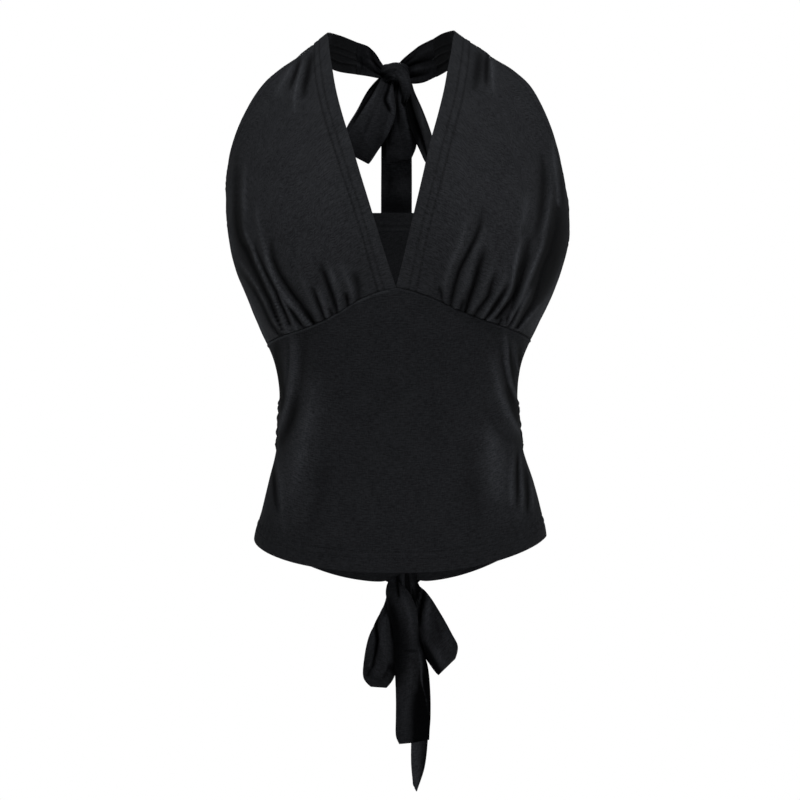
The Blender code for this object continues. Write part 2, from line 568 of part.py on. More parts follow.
def build():
    for item in list(bpy.data.objects):
        bpy.data.objects.remove(item, do_unlink=True)

    # Cups, midriff front and back
    for side, word in ((-1, "left"), (1, "right")):
        cloth("cup_" + word, cup(side, spread(44, CUP_COLUMNS), spread(22, CUP_ROWS)))
    front_top = lambda share: bust_seam_height(share) - SEAM_GAP
    front_hem = lambda share: hem_height(share, -1)
    back_hem = lambda share: hem_height(share, 1)
    front = panel(spread(32, EVEN), spread(12, EVEN), front_hem, front_top, -1, FRONT_FOLDS)
    cloth("front_panel", front)
    back = panel(spread(36, BACK_COLUMNS), spread(12, EVEN), back_hem, back_top_height, 1, BACK_FOLDS)
    cloth("back_panel", back)

    # Ties and bows
    for side, word in ((-1, "left"), (1, "right")):
        cloth("waist_tie_" + word, waist_tie(side, spread(4, EVEN), spread(22, EVEN)))
    strips = (
        ("neck_strap_left", NECK_STRAP_LEFT, 6),
        ("neck_strap_right", NECK_STRAP_RIGHT, 6),
        ("neck_loop_left", NECK_LOOP_LEFT, 20),
        ("neck_loop_right", NECK_LOOP_RIGHT, 20),
        ("neck_tail_short", NECK_TAIL_SHORT, 10),
        ("neck_tail_long", NECK_TAIL_LONG, 14),
        ("waist_loop_left", WAIST_LOOP_LEFT, 20),
        ("waist_loop_right", WAIST_LOOP_RIGHT, 20),
        ("waist_tail_short", WAIST_TAIL_SHORT, 12),
        ("waist_tail_long", WAIST_TAIL_LONG, 12),
    )
    for name, table, rows in strips:
        cloth(name, strip(table, spread(6, EVEN), spread(rows, EVEN)))
    knot("neck_knot", NECK_KNOT)
    knot("waist_knot", WAIST_KNOT)


build()
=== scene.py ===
from math import cos, pi, radians, sin

import bmesh
import bpy
import numpy as np
from mathutils import Matrix, Vector


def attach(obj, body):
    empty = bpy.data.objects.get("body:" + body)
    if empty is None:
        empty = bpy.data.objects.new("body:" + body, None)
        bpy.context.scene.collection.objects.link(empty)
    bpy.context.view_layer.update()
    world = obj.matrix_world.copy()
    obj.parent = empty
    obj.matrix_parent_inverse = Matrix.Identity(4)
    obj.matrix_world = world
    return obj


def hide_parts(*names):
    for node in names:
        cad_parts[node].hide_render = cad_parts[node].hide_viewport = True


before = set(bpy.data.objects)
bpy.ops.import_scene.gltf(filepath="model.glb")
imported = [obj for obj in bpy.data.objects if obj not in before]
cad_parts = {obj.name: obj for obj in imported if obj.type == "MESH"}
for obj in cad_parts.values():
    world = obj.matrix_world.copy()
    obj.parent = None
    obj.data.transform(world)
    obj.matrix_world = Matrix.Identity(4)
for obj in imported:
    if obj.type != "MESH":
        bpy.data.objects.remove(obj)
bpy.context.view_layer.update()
mm = 0.001
print("frame loaded,", len(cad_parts), "solids")


# where the camera stands; its picture is square
view = {
    "target": (2.1, 0.0, -385.0),
    "distance": 3200.0,
    "pixels": 800,
    "perPixel": 1.05,  # millimetres at the target's depth
    "film": 36.0,
}


# tables and lines

def readTable(table, share):
    # smooth through every row, from share 0 at the first to 1 at the last
    rows = np.asarray(table, float)
    last = len(rows) - 1
    place = np.clip(np.asarray(share, float), 0, 1) * last
    index = np.minimum(place.astype(int), last - 1)
    step = (place - index)[..., None]
    here, after = rows[index], rows[index + 1]
    before = np.where((index > 0)[..., None], rows[np.maximum(index - 1, 0)], 2 * here - after)
    beyond = np.where((index + 2 <= last)[..., None], rows[np.minimum(index + 2, last)], 2 * after - here)
    return 0.5 * (2 * here + (after - before) * step
                  + (2 * before - 5 * here + 4 * after - beyond) * step ** 2
                  + (3 * here - before - 3 * after + beyond) * step ** 3)


def readAt(table, value):
    keys = [row[0] for row in table]
    return readTable(table, np.interp(value, keys, np.linspace(0, 1, len(keys))))


def fade(value):
    # 1 at 0, smoothly down to 0 at 1
    value = np.clip(value, 0, 1)
    return 1 - value * value * (3 - 2 * value)


def bell(distance, width):
    # 1 at 0, and down to nothing at about twice the width
    return np.exp(-(distance / width) ** 2)


def spread(count, shape):
    # count steps, crowded or spread as the shape says: shares of the steps, and the values there
    return np.interp(np.linspace(0, 1, count + 1), shape[0], shape[1])


def pointsAlong(line, shares):
    steps = np.linalg.norm(np.diff(line, axis=0), axis=1)
    length = np.concatenate(([0.0], np.cumsum(steps)))
    wanted = np.asarray(shares) * length[-1]
    return np.stack([np.interp(wanted, length, axis) for axis in line.T], axis=-1)


def hills(across, along, sizes, seed, waves=3):
    # slow unevenness, as no cloth lies quite smooth
    turns = np.random.default_rng(seed)
    total = np.zeros(np.broadcast(across, along).shape)
    for size in sizes:
        for _ in range(waves):
            angle, phase = turns.uniform(0, pi), turns.uniform(0, 2 * pi)
            total += np.sin((across * cos(angle) + along * sin(angle)) * 2 * pi / size + phase) / waves
    return total / len(sizes)


# the body of the top, which the front, back and cups share
body = {
    "rings": (  # height, middle, half width, front depth, back depth
        (-590, 1.0, 149.0, 101, 107),
        (-560, 1.0, 150.0, 100, 105),
        (-530, 2.5, 152.4, 99, 103),
        (-500, 3.6, 145.8, 96, 98),
        (-469, 3.2, 138.0, 92, 90),
        (-438, 1.8, 129.2, 88, 82),
        (-406, 0.8, 125.8, 86, 78),
        (-375, 0.4, 124.5, 87, 78),
        (-343, 0.0, 130.0, 91, 81),
        (-311, 0.0, 144.0, 95, 83),
        (-280, 1.2, 158.2, 97, 85),
        (-249, 0.7, 170.5, 98, 87),
        (-217, 0.9, 178.0, 99, 89),
        (-186, -0.5, 179.5, 100, 90),
    ),
    "squareness": 2.35,
    "turns": 128,
    "hemLeft": -529.0,
    "hemRight": -526.5,
    "hemFront": -561.0,
    "hemBack": -583.0,
    "hemCurveLeft": 1.35,
    "hemCurveRight": 2.0,
    "hemCurveBack": 2.4,
    "hemArch": 9.0,  # over the knot at the back
    "hemArchReach": 14.0,
    "knotAcross": 7.0,
    "backTop": -183.0,
    "underarmDrop": (3.0, 25.0),
    "apexHeight": -270.5,
    "apexShare": 0.4925,
    "seamGap": 0.25,  # each side of the bust seam
    "bustSeam": (  # share from the apex to the side, fall on the left, fall on the right
        (0.0, 0.0, 0.0),
        (0.1, 5.5, 5.5),
        (0.2, 14.0, 13.0),
        (0.3, 25.5, 22.0),
        (0.4, 34.5, 29.0),
        (0.5, 41.0, 35.0),
        (0.6, 45.5, 40.0),
        (0.7, 49.5, 44.5),
        (0.8, 53.0, 48.5),
        (0.9, 55.5, 51.0),
        (1.0, 57.5, 52.0),
    ),
}


def bodyPoints(height, share, facing):
    height, share = np.broadcast_arrays(np.asarray(height, float), np.asarray(share, float))
    rings = readAt(body["rings"], height)
    middle, half = rings[..., 1, None], rings[..., 2, None]
    depth = rings[..., 3 if facing < 0 else 4, None]
    turn = np.linspace(0, pi, body["turns"] + 1)
    cosine, sine = np.cos(turn), np.clip(np.sin(turn), 0, 1)
    power = 2 / body["squareness"]
    across = middle - half * np.sign(cosine) * np.abs(cosine) ** power
    deep = facing * depth * sine ** power
    length = np.cumsum(np.hypot(np.diff(across, axis=-1), np.diff(deep, axis=-1)), axis=-1)
    length = np.concatenate((np.zeros(length.shape[:-1] + (1,)), length), axis=-1)
    wanted = share[..., None] * length[..., -1:]
    index = np.clip((length < wanted).sum(axis=-1) - 1, 0, body["turns"] - 1)[..., None]
    start, end = np.take_along_axis(length, index, -1), np.take_along_axis(length, index + 1, -1)
    step = (wanted - start) / (end - start)
    x, y = (np.take_along_axis(one, index, -1) * (1 - step) + np.take_along_axis(one, index + 1, -1) * step
            for one in (across, deep))
    return np.concatenate((x, y, height[..., None]), axis=-1)


def hemHeight(share, facing):
    right = share >= 0.5
    side = np.where(right, body["hemRight"], body["hemLeft"])
    points = bodyPoints(side, share, facing)
    depth = readAt(body["rings"], side)[:, 3 if facing < 0 else 4]
    out = np.abs(points[:, 1]) / depth
    if facing < 0:
        curve = np.where(right, body["hemCurveRight"], body["hemCurveLeft"])
        return side + (body["hemFront"] - side) * out ** curve
    arch = body["hemArch"] * bell(points[:, 0] - body["knotAcross"], body["hemArchReach"])
    return side + (body["hemBack"] - side) * out ** body["hemCurveBack"] + arch


def bustSeamHeight(share):
    apex = body["apexShare"]
    left = readAt(body["bustSeam"], np.clip(1 - share / apex, 0, 1))[:, 1]
    right = readAt(body["bustSeam"], np.clip((share - apex) / (1 - apex), 0, 1))[:, 2]
    return body["apexHeight"] - np.where(share < apex, left, right)


def backTopHeight(share):
    side = 2 * share - 1
    drop = np.where(side < 0, *body["underarmDrop"])
    return body["backTop"] - drop * np.abs(side) ** 3


# relief: folds, gathers and sewing, as heights over a piece's grid

def inPicture(points):
    nearer = view["distance"] / (view["distance"] + points[..., 1]) / view["perPixel"]
    centre = view["pixels"] / 2
    return np.stack((centre + (points[..., 0] - view["target"][0]) * nearer,
                     centre - (points[..., 2] - view["target"][2]) * nearer), axis=-1)


crease = {
    "steps": 56,  # along its line
    "reach": 3,  # half widths within which it is felt
    "sewnReach": 0.9,
    "sewnWidening": 0.6,
    "sewnRise": 0.4,  # share of its line over which a sewn crease rises
    "ends": 0.8,  # how soon a loose crease fades at both ends
    "ridge": 1.15,  # ridges are sharper than troughs
    "trough": 1.7,
}


def creaseHeights(points, creases, depth=1.0):
    # each is a line in the camera's picture: height, half width in mm, how firmly its end is sewn, places
    seen = inPicture(points).reshape(-1, 2)
    heights = np.zeros(len(seen))
    along = np.linspace(0, 1, crease["steps"])
    for height, width, sewn, *places in creases:
        line = readTable(places, along)
        reach = crease["reach"] * width / view["perPixel"] * (1 + crease["sewnReach"] * sewn)
        low, high = line.min(axis=0) - reach, line.max(axis=0) + reach
        near = np.flatnonzero(((seen > low) & (seen < high)).all(axis=1))
        gaps = np.linalg.norm(seen[near, None] - line[None], axis=2)
        at = along[gaps.argmin(axis=1)]
        gap = gaps.min(axis=1) * view["perPixel"]
        if sewn:
            strength = np.where(at < crease["sewnRise"], np.sin(at / crease["sewnRise"] * pi / 2), 1.0)
        else:
            strength = np.sin(pi * at) ** crease["ends"]
        wide = width * (1 + crease["sewnWidening"] * sewn * (1 - at))
        power = crease["ridge"] if height > 0 else crease["trough"]
        heights[near] += height * strength * np.exp(-(gap / wide) ** power)
    return depth * heights.reshape(points.shape[:-1])


turning = {
    "steps": 60,
    "start": 30.0,  # pixels over which the turn begins
    "roundness": 0.6,
    "level": 0.77,  # about the root of the roundness
    "edge": 2.2,
    "edgeWidth": 1.4,
}


def foldBack(points, folds):
    # right of a line in the picture the cloth turns back: slope, then the line's places downwards
    seen = inPicture(points)
    heights = np.zeros(points.shape[:-1])
    for slope, *places in folds:
        line = readTable(places, np.linspace(0, 1, turning["steps"]))
        gap = (seen[..., 0] - np.interp(seen[..., 1], line[:, 1], line[:, 0])) * view["perPixel"]
        start = np.clip((seen[..., 1] - line[0, 1]) / turning["start"], 0, 1)
        away = np.sqrt(np.maximum(gap, 0) ** 2 + turning["roundness"]) - turning["level"]
        heights -= slope * start * (away + turning["edge"] * (1 - fade(gap / turning["edgeWidth"])))
    return heights


def foldHeights(folds, across, along, unit):
    # each is a curve over the grid, in the columns that the back's table names
    heights = np.zeros(np.broadcast(across, along).shape)
    for height, width, sharp, start, a, atA, b, atB, c, atC in folds:
        place = np.clip(along, atA, atC)
        middle = (a * (place - atB) * (place - atC) / ((atA - atB) * (atA - atC))
                  + b * (place - atA) * (place - atC) / ((atB - atA) * (atB - atC))
                  + c * (place - atA) * (place - atB) / ((atC - atA) * (atC - atB)))
        step = (along - atA) / (atC - atA)
        strength = np.where((step >= 0) & (step <= 1), np.sin(pi * (start + (1 - start) * step)), 0.0)
        heights += height * strength * np.exp(-(np.abs(across - middle) * unit / width) ** sharp)
    return heights


sewing = {
    "hemHeight": 0.6,
    "hemStep": 1.5,
    "groove": 0.48,  # of a line of stitches, and of the last line, where the hem ends
    "lastGroove": 0.72,
    "grooveWidth": 1.15,
    "pucker": 0.24,
    "puckerReach": 7.0,
    "puckerPitch": 7.3,
    "puckerDrift": 17.0,
}


def stitchRelief(distance, along, lines):
    # a turned hem stands a little higher, and each line of stitches pulls it in
    last = lines[-1]
    heights = sewing["hemHeight"] * fade((distance - last + sewing["hemHeight"]) / sewing["hemStep"])
    for line in lines:
        groove = sewing["lastGroove" if line == last else "groove"]
        heights -= groove * bell(distance - line, sewing["grooveWidth"])
    ripple = np.sin(along * 2 * pi / sewing["puckerPitch"] + 2 * np.sin(along / sewing["puckerDrift"]))
    return heights + sewing["pucker"] * ripple * bell(distance - last, sewing["puckerReach"])


def outwards(points):
    normals = np.cross(np.gradient(points, axis=1), np.gradient(points, axis=0))
    normals /= np.linalg.norm(normals, axis=2, keepdims=True) + 1e-9
    middle = (points.shape[0] // 2, points.shape[1] // 2)
    return normals * np.sign(np.dot(normals[middle][:2], points[middle][:2]))


def pushOut(points, heights):
    return points + outwards(points) * heights[..., None]


def gridSizes(points):
    # distances in millimetres along each row and up each column
    across = np.linalg.norm(np.diff(points, axis=1), axis=2)
    along = np.linalg.norm(np.diff(points, axis=0), axis=2)
    across = np.concatenate((np.zeros((points.shape[0], 1)), np.cumsum(across, axis=1)), axis=1)
    along = np.concatenate((np.zeros((1, points.shape[1])), np.cumsum(along, axis=0)), axis=0)
    return across, along


# materials

yarn = {
    "waleWidth": 0.62,
    "courseHeight": 0.5,
    "paintedShadeBase": 3.4,  # painted light and shade: how much lighter the colour is where the painted shade attribute is 1
    "glossShadeFloor": 0.15,  # painted shade: where the colour is darkened this far, no gloss is left
    "specular": 0.05,
    "sheen": 0.015,
    "sheenRoughness": 0.45,
    "bump": 0.13,
    "bumpDepth": 0.0003,
    "lean": 2.4,  # of a stitch's legs
    "contrast": (0.385, 0.615),
    "roughness": (0.74, 0.9),
}
unevenness = {  # reach across and along in millimetres, detail
    "slub": (6.5, 1.25, 2),  # thick places in the yarn, along the courses
    "column": (1.15, 5.0, 1),
    "grain": (2.2, 1.1, 2),
    "mottle": (26.0, 22.0, 1),
}
reliefShares = {"leg": 0.2, "rib": 0.4, "slub": 1.5, "grain": 0.7, "column": 0.7}
shadeShares = {"slub": 0.46, "grain": 0.24, "column": 0.20, "mottle": 0.10}


def newMaterial(name):
    material = bpy.data.materials.new(name)
    material.use_nodes = True
    return material, material.node_tree, material.node_tree.nodes["Principled BSDF"]


def mapRange(tree, value, low, high, newLow, newHigh):
    node = tree.nodes.new("ShaderNodeMapRange")
    for name, number in (("From Min", low), ("From Max", high), ("To Min", newLow), ("To Max", newHigh)):
        node.inputs[name].default_value = number
    tree.links.new(value, node.inputs["Value"])
    return node.outputs[0]


def paintedShadeFactor(tree):
    # painted light and shade: the colour is lighter on ridges and darker in troughs, as the attribute says
    paintedShadeAttribute = tree.nodes.new("ShaderNodeAttribute")
    paintedShadeAttribute.attribute_name = "paintedShadeAttribute"
    power = tree.nodes.new("ShaderNodeMath")
    power.operation = "POWER"
    power.inputs[0].default_value = yarn["paintedShadeBase"]
    tree.links.new(paintedShadeAttribute.outputs["Fac"], power.inputs[1])
    return power.outputs[0]


def knitGroup():
    # fine rows and columns of knit stitches, with slubs, fuzz and a slow mottle; its UV map is in millimetres
    group = bpy.data.node_groups.new("knit", "ShaderNodeTree")
    for name, kind, value in (
        ("Wale width", "Float", yarn["waleWidth"]),
        ("Course height", "Float", yarn["courseHeight"]),
        ("Dark yarn", "Color", (0.010, 0.010, 0.012, 1)),
        ("Light yarn", "Color", (0.022, 0.023, 0.026, 1)),
    ):
        made = group.interface.new_socket(name=name, in_out="INPUT", socket_type="NodeSocket" + kind)
        made.default_value = value
    for name, kind in (("Color", "Color"), ("Height", "Float"), ("Roughness", "Float")):
        group.interface.new_socket(name=name, in_out="OUTPUT", socket_type="NodeSocket" + kind)
    nodes, links = group.nodes, group.links
    given, out = nodes.new("NodeGroupInput"), nodes.new("NodeGroupOutput")
    uv = nodes.new("ShaderNodeUVMap")
    uv.uv_map = "cloth"
    split = nodes.new("ShaderNodeSeparateXYZ")
    links.new(uv.outputs["UV"], split.inputs[0])

    def math(kind, first, second=None):
        node = nodes.new("ShaderNodeMath")
        node.operation = kind
        for slot, value in enumerate((first, second)):
            if isinstance(value, (int, float)):
                node.inputs[slot].default_value = value
            elif value is not None:
                links.new(value, node.inputs[slot])
        return node.outputs[0]

    def turns(axis, size):
        return math("MULTIPLY", math("DIVIDE", split.outputs[axis], given.outputs[size]), 2 * pi)

    def stretched(across, along, detail):
        size = nodes.new("ShaderNodeMapping")
        size.inputs["Scale"].default_value = (1 / across, 1 / along, 1.0)
        links.new(uv.outputs["UV"], size.inputs["Vector"])
        noise = nodes.new("ShaderNodeTexNoise")
        noise.inputs["Scale"].default_value = 1.0
        noise.inputs["Detail"].default_value = detail
        links.new(size.outputs["Vector"], noise.inputs["Vector"])
        return noise.outputs["Fac"]

    def together(shares):
        total = None
        for name, share in shares.items():
            part = math("MULTIPLY", parts[name], share)
            total = part if total is None else math("ADD", total, part)
        return total

    parts = {name: stretched(*sizes) for name, sizes in unevenness.items()}
    wale, course = turns("X", "Wale width"), turns("Y", "Course height")
    parts["rib"] = math("ABSOLUTE", math("SINE", math("MULTIPLY", wale, 0.5)))
    parts["leg"] = math("SINE", math("ADD", course, math("MULTIPLY", parts["rib"], yarn["lean"])))
    links.new(together(reliefShares), out.inputs["Height"])
    mix = nodes.new("ShaderNodeMix")
    mix.data_type = "RGBA"
    links.new(mapRange(group, together(shadeShares), *yarn["contrast"], 0.0, 1.0), mix.inputs[0])
    links.new(given.outputs["Dark yarn"], mix.inputs[6])
    links.new(given.outputs["Light yarn"], mix.inputs[7])
    # painted light and shade: the yarn colour is scaled lighter on ridges and darker in troughs
    lightAndShade = nodes.new("ShaderNodeVectorMath")
    lightAndShade.operation = "SCALE"
    links.new(mix.outputs[2], lightAndShade.inputs[0])
    links.new(paintedShadeFactor(group), lightAndShade.inputs["Scale"])
    links.new(lightAndShade.outputs[0], out.inputs["Color"])
    links.new(mapRange(group, parts["slub"], 0.3, 0.7, *yarn["roughness"]), out.inputs["Roughness"])
    return group


knit = knitGroup()


def jersey(name, dark, light, fading=False):
    material, tree, shader = newMaterial(name)
    nodes, links = tree.nodes, tree.links
    shader.inputs["Specular IOR Level"].default_value = yarn["specular"]
    shader.inputs["Sheen Weight"].default_value = yarn["sheen"]
    shader.inputs["Sheen Roughness"].default_value = yarn["sheenRoughness"]
    weave = nodes.new("ShaderNodeGroup")
    weave.node_tree = knit
    weave.inputs["Dark yarn"].default_value = (*dark, 1)
    weave.inputs["Light yarn"].default_value = (*light, 1)
    raised = nodes.new("ShaderNodeBump")
    raised.inputs["Strength"].default_value = yarn["bump"]
    raised.inputs["Distance"].default_value = yarn["bumpDepth"]
    if fading:  # painted shade: in the troughs of the ties the gloss and sheen fade with the colour
        lightAndShade = paintedShadeFactor(tree)
        for level, most in (("Specular IOR Level", yarn["specular"]), ("Sheen Weight", yarn["sheen"])):
            links.new(mapRange(tree, lightAndShade, yarn["glossShadeFloor"], 1.0, 0.0, most), shader.inputs[level])
    links.new(weave.outputs["Color"], shader.inputs["Base Color"])
    links.new(weave.outputs["Roughness"], shader.inputs["Roughness"])
    links.new(weave.outputs["Height"], raised.inputs["Height"])
    links.new(raised.outputs["Normal"], shader.inputs["Normal"])
    return material


# painted light and shade: one black jersey in three copies, lightest on the cups, which face the light,
# darker on the body and darkest on the ties, which lie more in shade
litCupJersey = jersey("litCupJersey", (0.0080, 0.0083, 0.0093), (0.0226, 0.0233, 0.0256))
bodyJersey = jersey("bodyJersey", (0.0050, 0.0052, 0.0059), (0.0146, 0.0151, 0.0167))
shadedTieJersey = jersey("shadedTieJersey", (0.0048, 0.0050, 0.0057), (0.0138, 0.0142, 0.0160), fading=True)


def threadMaterial():
    material, tree, shader = newMaterial("blackThread")
    nodes, links = tree.nodes, tree.links
    place = nodes.new("ShaderNodeTexCoord")
    noise = nodes.new("ShaderNodeTexNoise")
    noise.inputs["Scale"].default_value = 900
    ramp = nodes.new("ShaderNodeValToRGB")
    ramp.color_ramp.elements[0].color = (0.006, 0.0063, 0.0068, 1)
    ramp.color_ramp.elements[1].color = (0.016, 0.0165, 0.0175, 1)
    links.new(place.outputs["Object"], noise.inputs["Vector"])
    links.new(noise.outputs["Fac"], ramp.inputs["Fac"])
    links.new(ramp.outputs["Color"], shader.inputs["Base Color"])
    shader.inputs["Roughness"].default_value = 0.7
    shader.inputs["Specular IOR Level"].default_value = 0.1
    return material


blackThread = threadMaterial()


# making a piece

shadePainting = {  # painted light and shade: how much lighter or darker folds make the colour
    "most": 1.35,
    "softness": 4.3,  # millimetres of fold
    "onRidges": 0.56,
}


def paintedShadeOf(folds):
    value = shadePainting["most"] * np.tanh(folds / shadePainting["softness"])
    return np.where(value > 0, shadePainting["onRidges"] * value, value)


def addPiece(name, shape, material):
    mesh = bpy.data.meshes.new(name)
    shape.to_mesh(mesh)
    shape.free()
    mesh.shade_smooth()
    mesh.materials.append(material)
    piece = bpy.data.objects.new(name, mesh)
    bpy.context.scene.collection.objects.link(piece)
    return piece


def finishPiece(name, shape, material, nodes):
    piece = addPiece(name, shape, material)
    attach(piece, "root")
    if nodes:
        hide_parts(*nodes)
    return piece


def addGrid(shape, points):
    # a grid of faces through the points; gives back each vertex's row and column
    rows, columns = points.shape[0] - 1, points.shape[1] - 1
    fresh = bmesh.ops.create_grid(shape, x_segments=columns, y_segments=rows, size=1)["verts"]
    where = {}
    for vert in fresh:
        where[vert] = round((vert.co.y + 1) / 2 * rows), round((vert.co.x + 1) / 2 * columns)
        vert.co = points[where[vert]] * mm
    return where


def addLayers(shape):
    return shape.loops.layers.uv.new("cloth"), shape.verts.layers.float.new("paintedShadeAttribute")


def sewCloth(name, points, material, nodes, wall=1.0, folds=None):
    # a sheet through a grid of points, with a wall
    sheet = bmesh.new()
    uvLayer, foldLayer = addLayers(sheet)
    where = addGrid(sheet, points)
    # painted light and shade: the folds become a lighter or darker colour through this attribute
    lightAndShade = paintedShadeOf(np.zeros(points.shape[:2]) if folds is None else folds)
    for vert, spot in where.items():
        vert[foldLayer] = lightAndShade[spot]
    middle = (points.shape[0] - 1) // 2, (points.shape[1] - 1) // 2
    sheet.faces.ensure_lookup_table()
    sheet.normal_update()
    centre = Vector(points[middle] * mm)
    probe = min(sheet.faces, key=lambda face: (face.calc_center_median() - centre).length)
    if probe.normal.dot(Vector(outwards(points)[middle])) < 0:
        bmesh.ops.reverse_faces(sheet, faces=sheet.faces)
    across, along = gridSizes(points)
    across = across - across[:, middle[1]:middle[1] + 1]
    for face in sheet.faces:
        for loop in face.loops:
            spot = where[loop.vert]
            loop[uvLayer].uv = (across[spot], along[spot])
    area = sum(face.calc_area() for face in sheet.faces)
    piece = finishPiece(name, sheet, material, nodes)
    shell = piece.modifiers.new("wall", "SOLIDIFY")
    shell.thickness = wall * mm
    shell.offset = 0
    return piece


stitch = {
    "pitch": 3.1,
    "length": 2.3,
    "radius": 0.22,
    "height": 0.55,
    "aim": 0.4,  # how far before and after it the line is looked along
}


def stitchLine(shape, points):
    # a row of lockstitches along a line of points, each a small bead of thread
    line, out = points[:, :3], points[:, 3:]
    steps = np.concatenate(([0.0], np.cumsum(np.linalg.norm(np.diff(line, axis=0), axis=1))))

    def at(place, values):
        return np.array([np.interp(place, steps, axis) for axis in values.T])

    for place in np.arange(stitch["pitch"], steps[-1] - stitch["pitch"], stitch["pitch"]):
        before, after = at(place - stitch["aim"], line), at(place + stitch["aim"], line)
        normal = Vector(at(place, out)).normalized()
        along = Vector(after - before).normalized()
        side = normal.cross(along).normalized()
        turn = Matrix((side, along, normal)).transposed().to_4x4()
        centre = Vector((before + after) / 2) + normal * stitch["height"]
        size = Matrix.Diagonal((stitch["radius"], stitch["length"] / 2, stitch["radius"], 1))
        matrix = Matrix.Translation(centre * mm) @ Matrix.Scale(mm, 4) @ turn @ size
        bmesh.ops.create_icosphere(shape, subdivisions=1, radius=1, matrix=matrix)


def lineOn(points, distances, distance):
    # the line over a grid where its distance table has a value, one point for each row
    normals = outwards(points)
    rows = []
    for row, values in enumerate(distances):
        order = np.argsort(values)
        both = np.concatenate((points[row], normals[row]), axis=1)[order]
        rows.append([np.interp(distance, values[order], axis) for axis in both.T])
    return np.array(rows)


def addStitches(name, lines):
    shape = bmesh.new()
    for line in lines:
        stitchLine(shape, line)
    return finishPiece(name, shape, blackThread, None)


# gathers of the cups that are both raised and given painted light and shade: their places in the camera's
# picture, downwards
gathers = {
    "leftEdge": ((237, 150), (237, 200), (238, 222), (242, 240), (248, 250), (253, 262), (259, 275),
                 (266, 290), (271, 300), (275, 310), (284, 332)),
    "leftOuter": ((245, 176), (244, 220), (247, 236), (253, 250), (257, 262), (263, 275), (270, 290),
                  (275, 300), (284, 320), (292, 336)),
    "leftLong": ((257, 200), (258, 220), (265, 250), (268, 262), (273, 275), (280, 290), (288, 300),
                 (297, 310), (315, 330)),
    "leftShort": ((238, 256), (241, 262), (250, 275), (259, 290), (264, 300), (269, 310), (275, 320),
                  (283, 330), (290, 338)),
    "leftFoot": ((279, 292), (283, 300), (288, 310), (293, 320), (298, 331)),
    "leftHollow": ((255, 240), (257, 250), (262, 262), (268, 275), (276, 290), (280, 300), (285, 310),
                   (290, 322)),
    "leftInner": ((299, 273), (306, 290), (311, 300), (316, 310), (321, 320)),
    "rightOuter": ((547, 218), (543, 240), (538, 255), (532, 270), (526, 285), (522, 295), (517, 305),
                   (510, 316), (503, 327)),
    "rightLong": ((519, 212), (520, 240), (517, 255), (514, 270), (511, 285), (507, 295), (501, 305),
                  (492, 315), (486, 322)),
    "rightInner": ((507, 262), (504, 278), (500, 288), (496, 295), (489, 305), (483, 315), (479, 321)),
    "rightFoot": ((533, 287), (528, 295), (522, 305), (517, 315), (512, 325), (509, 332)),
}

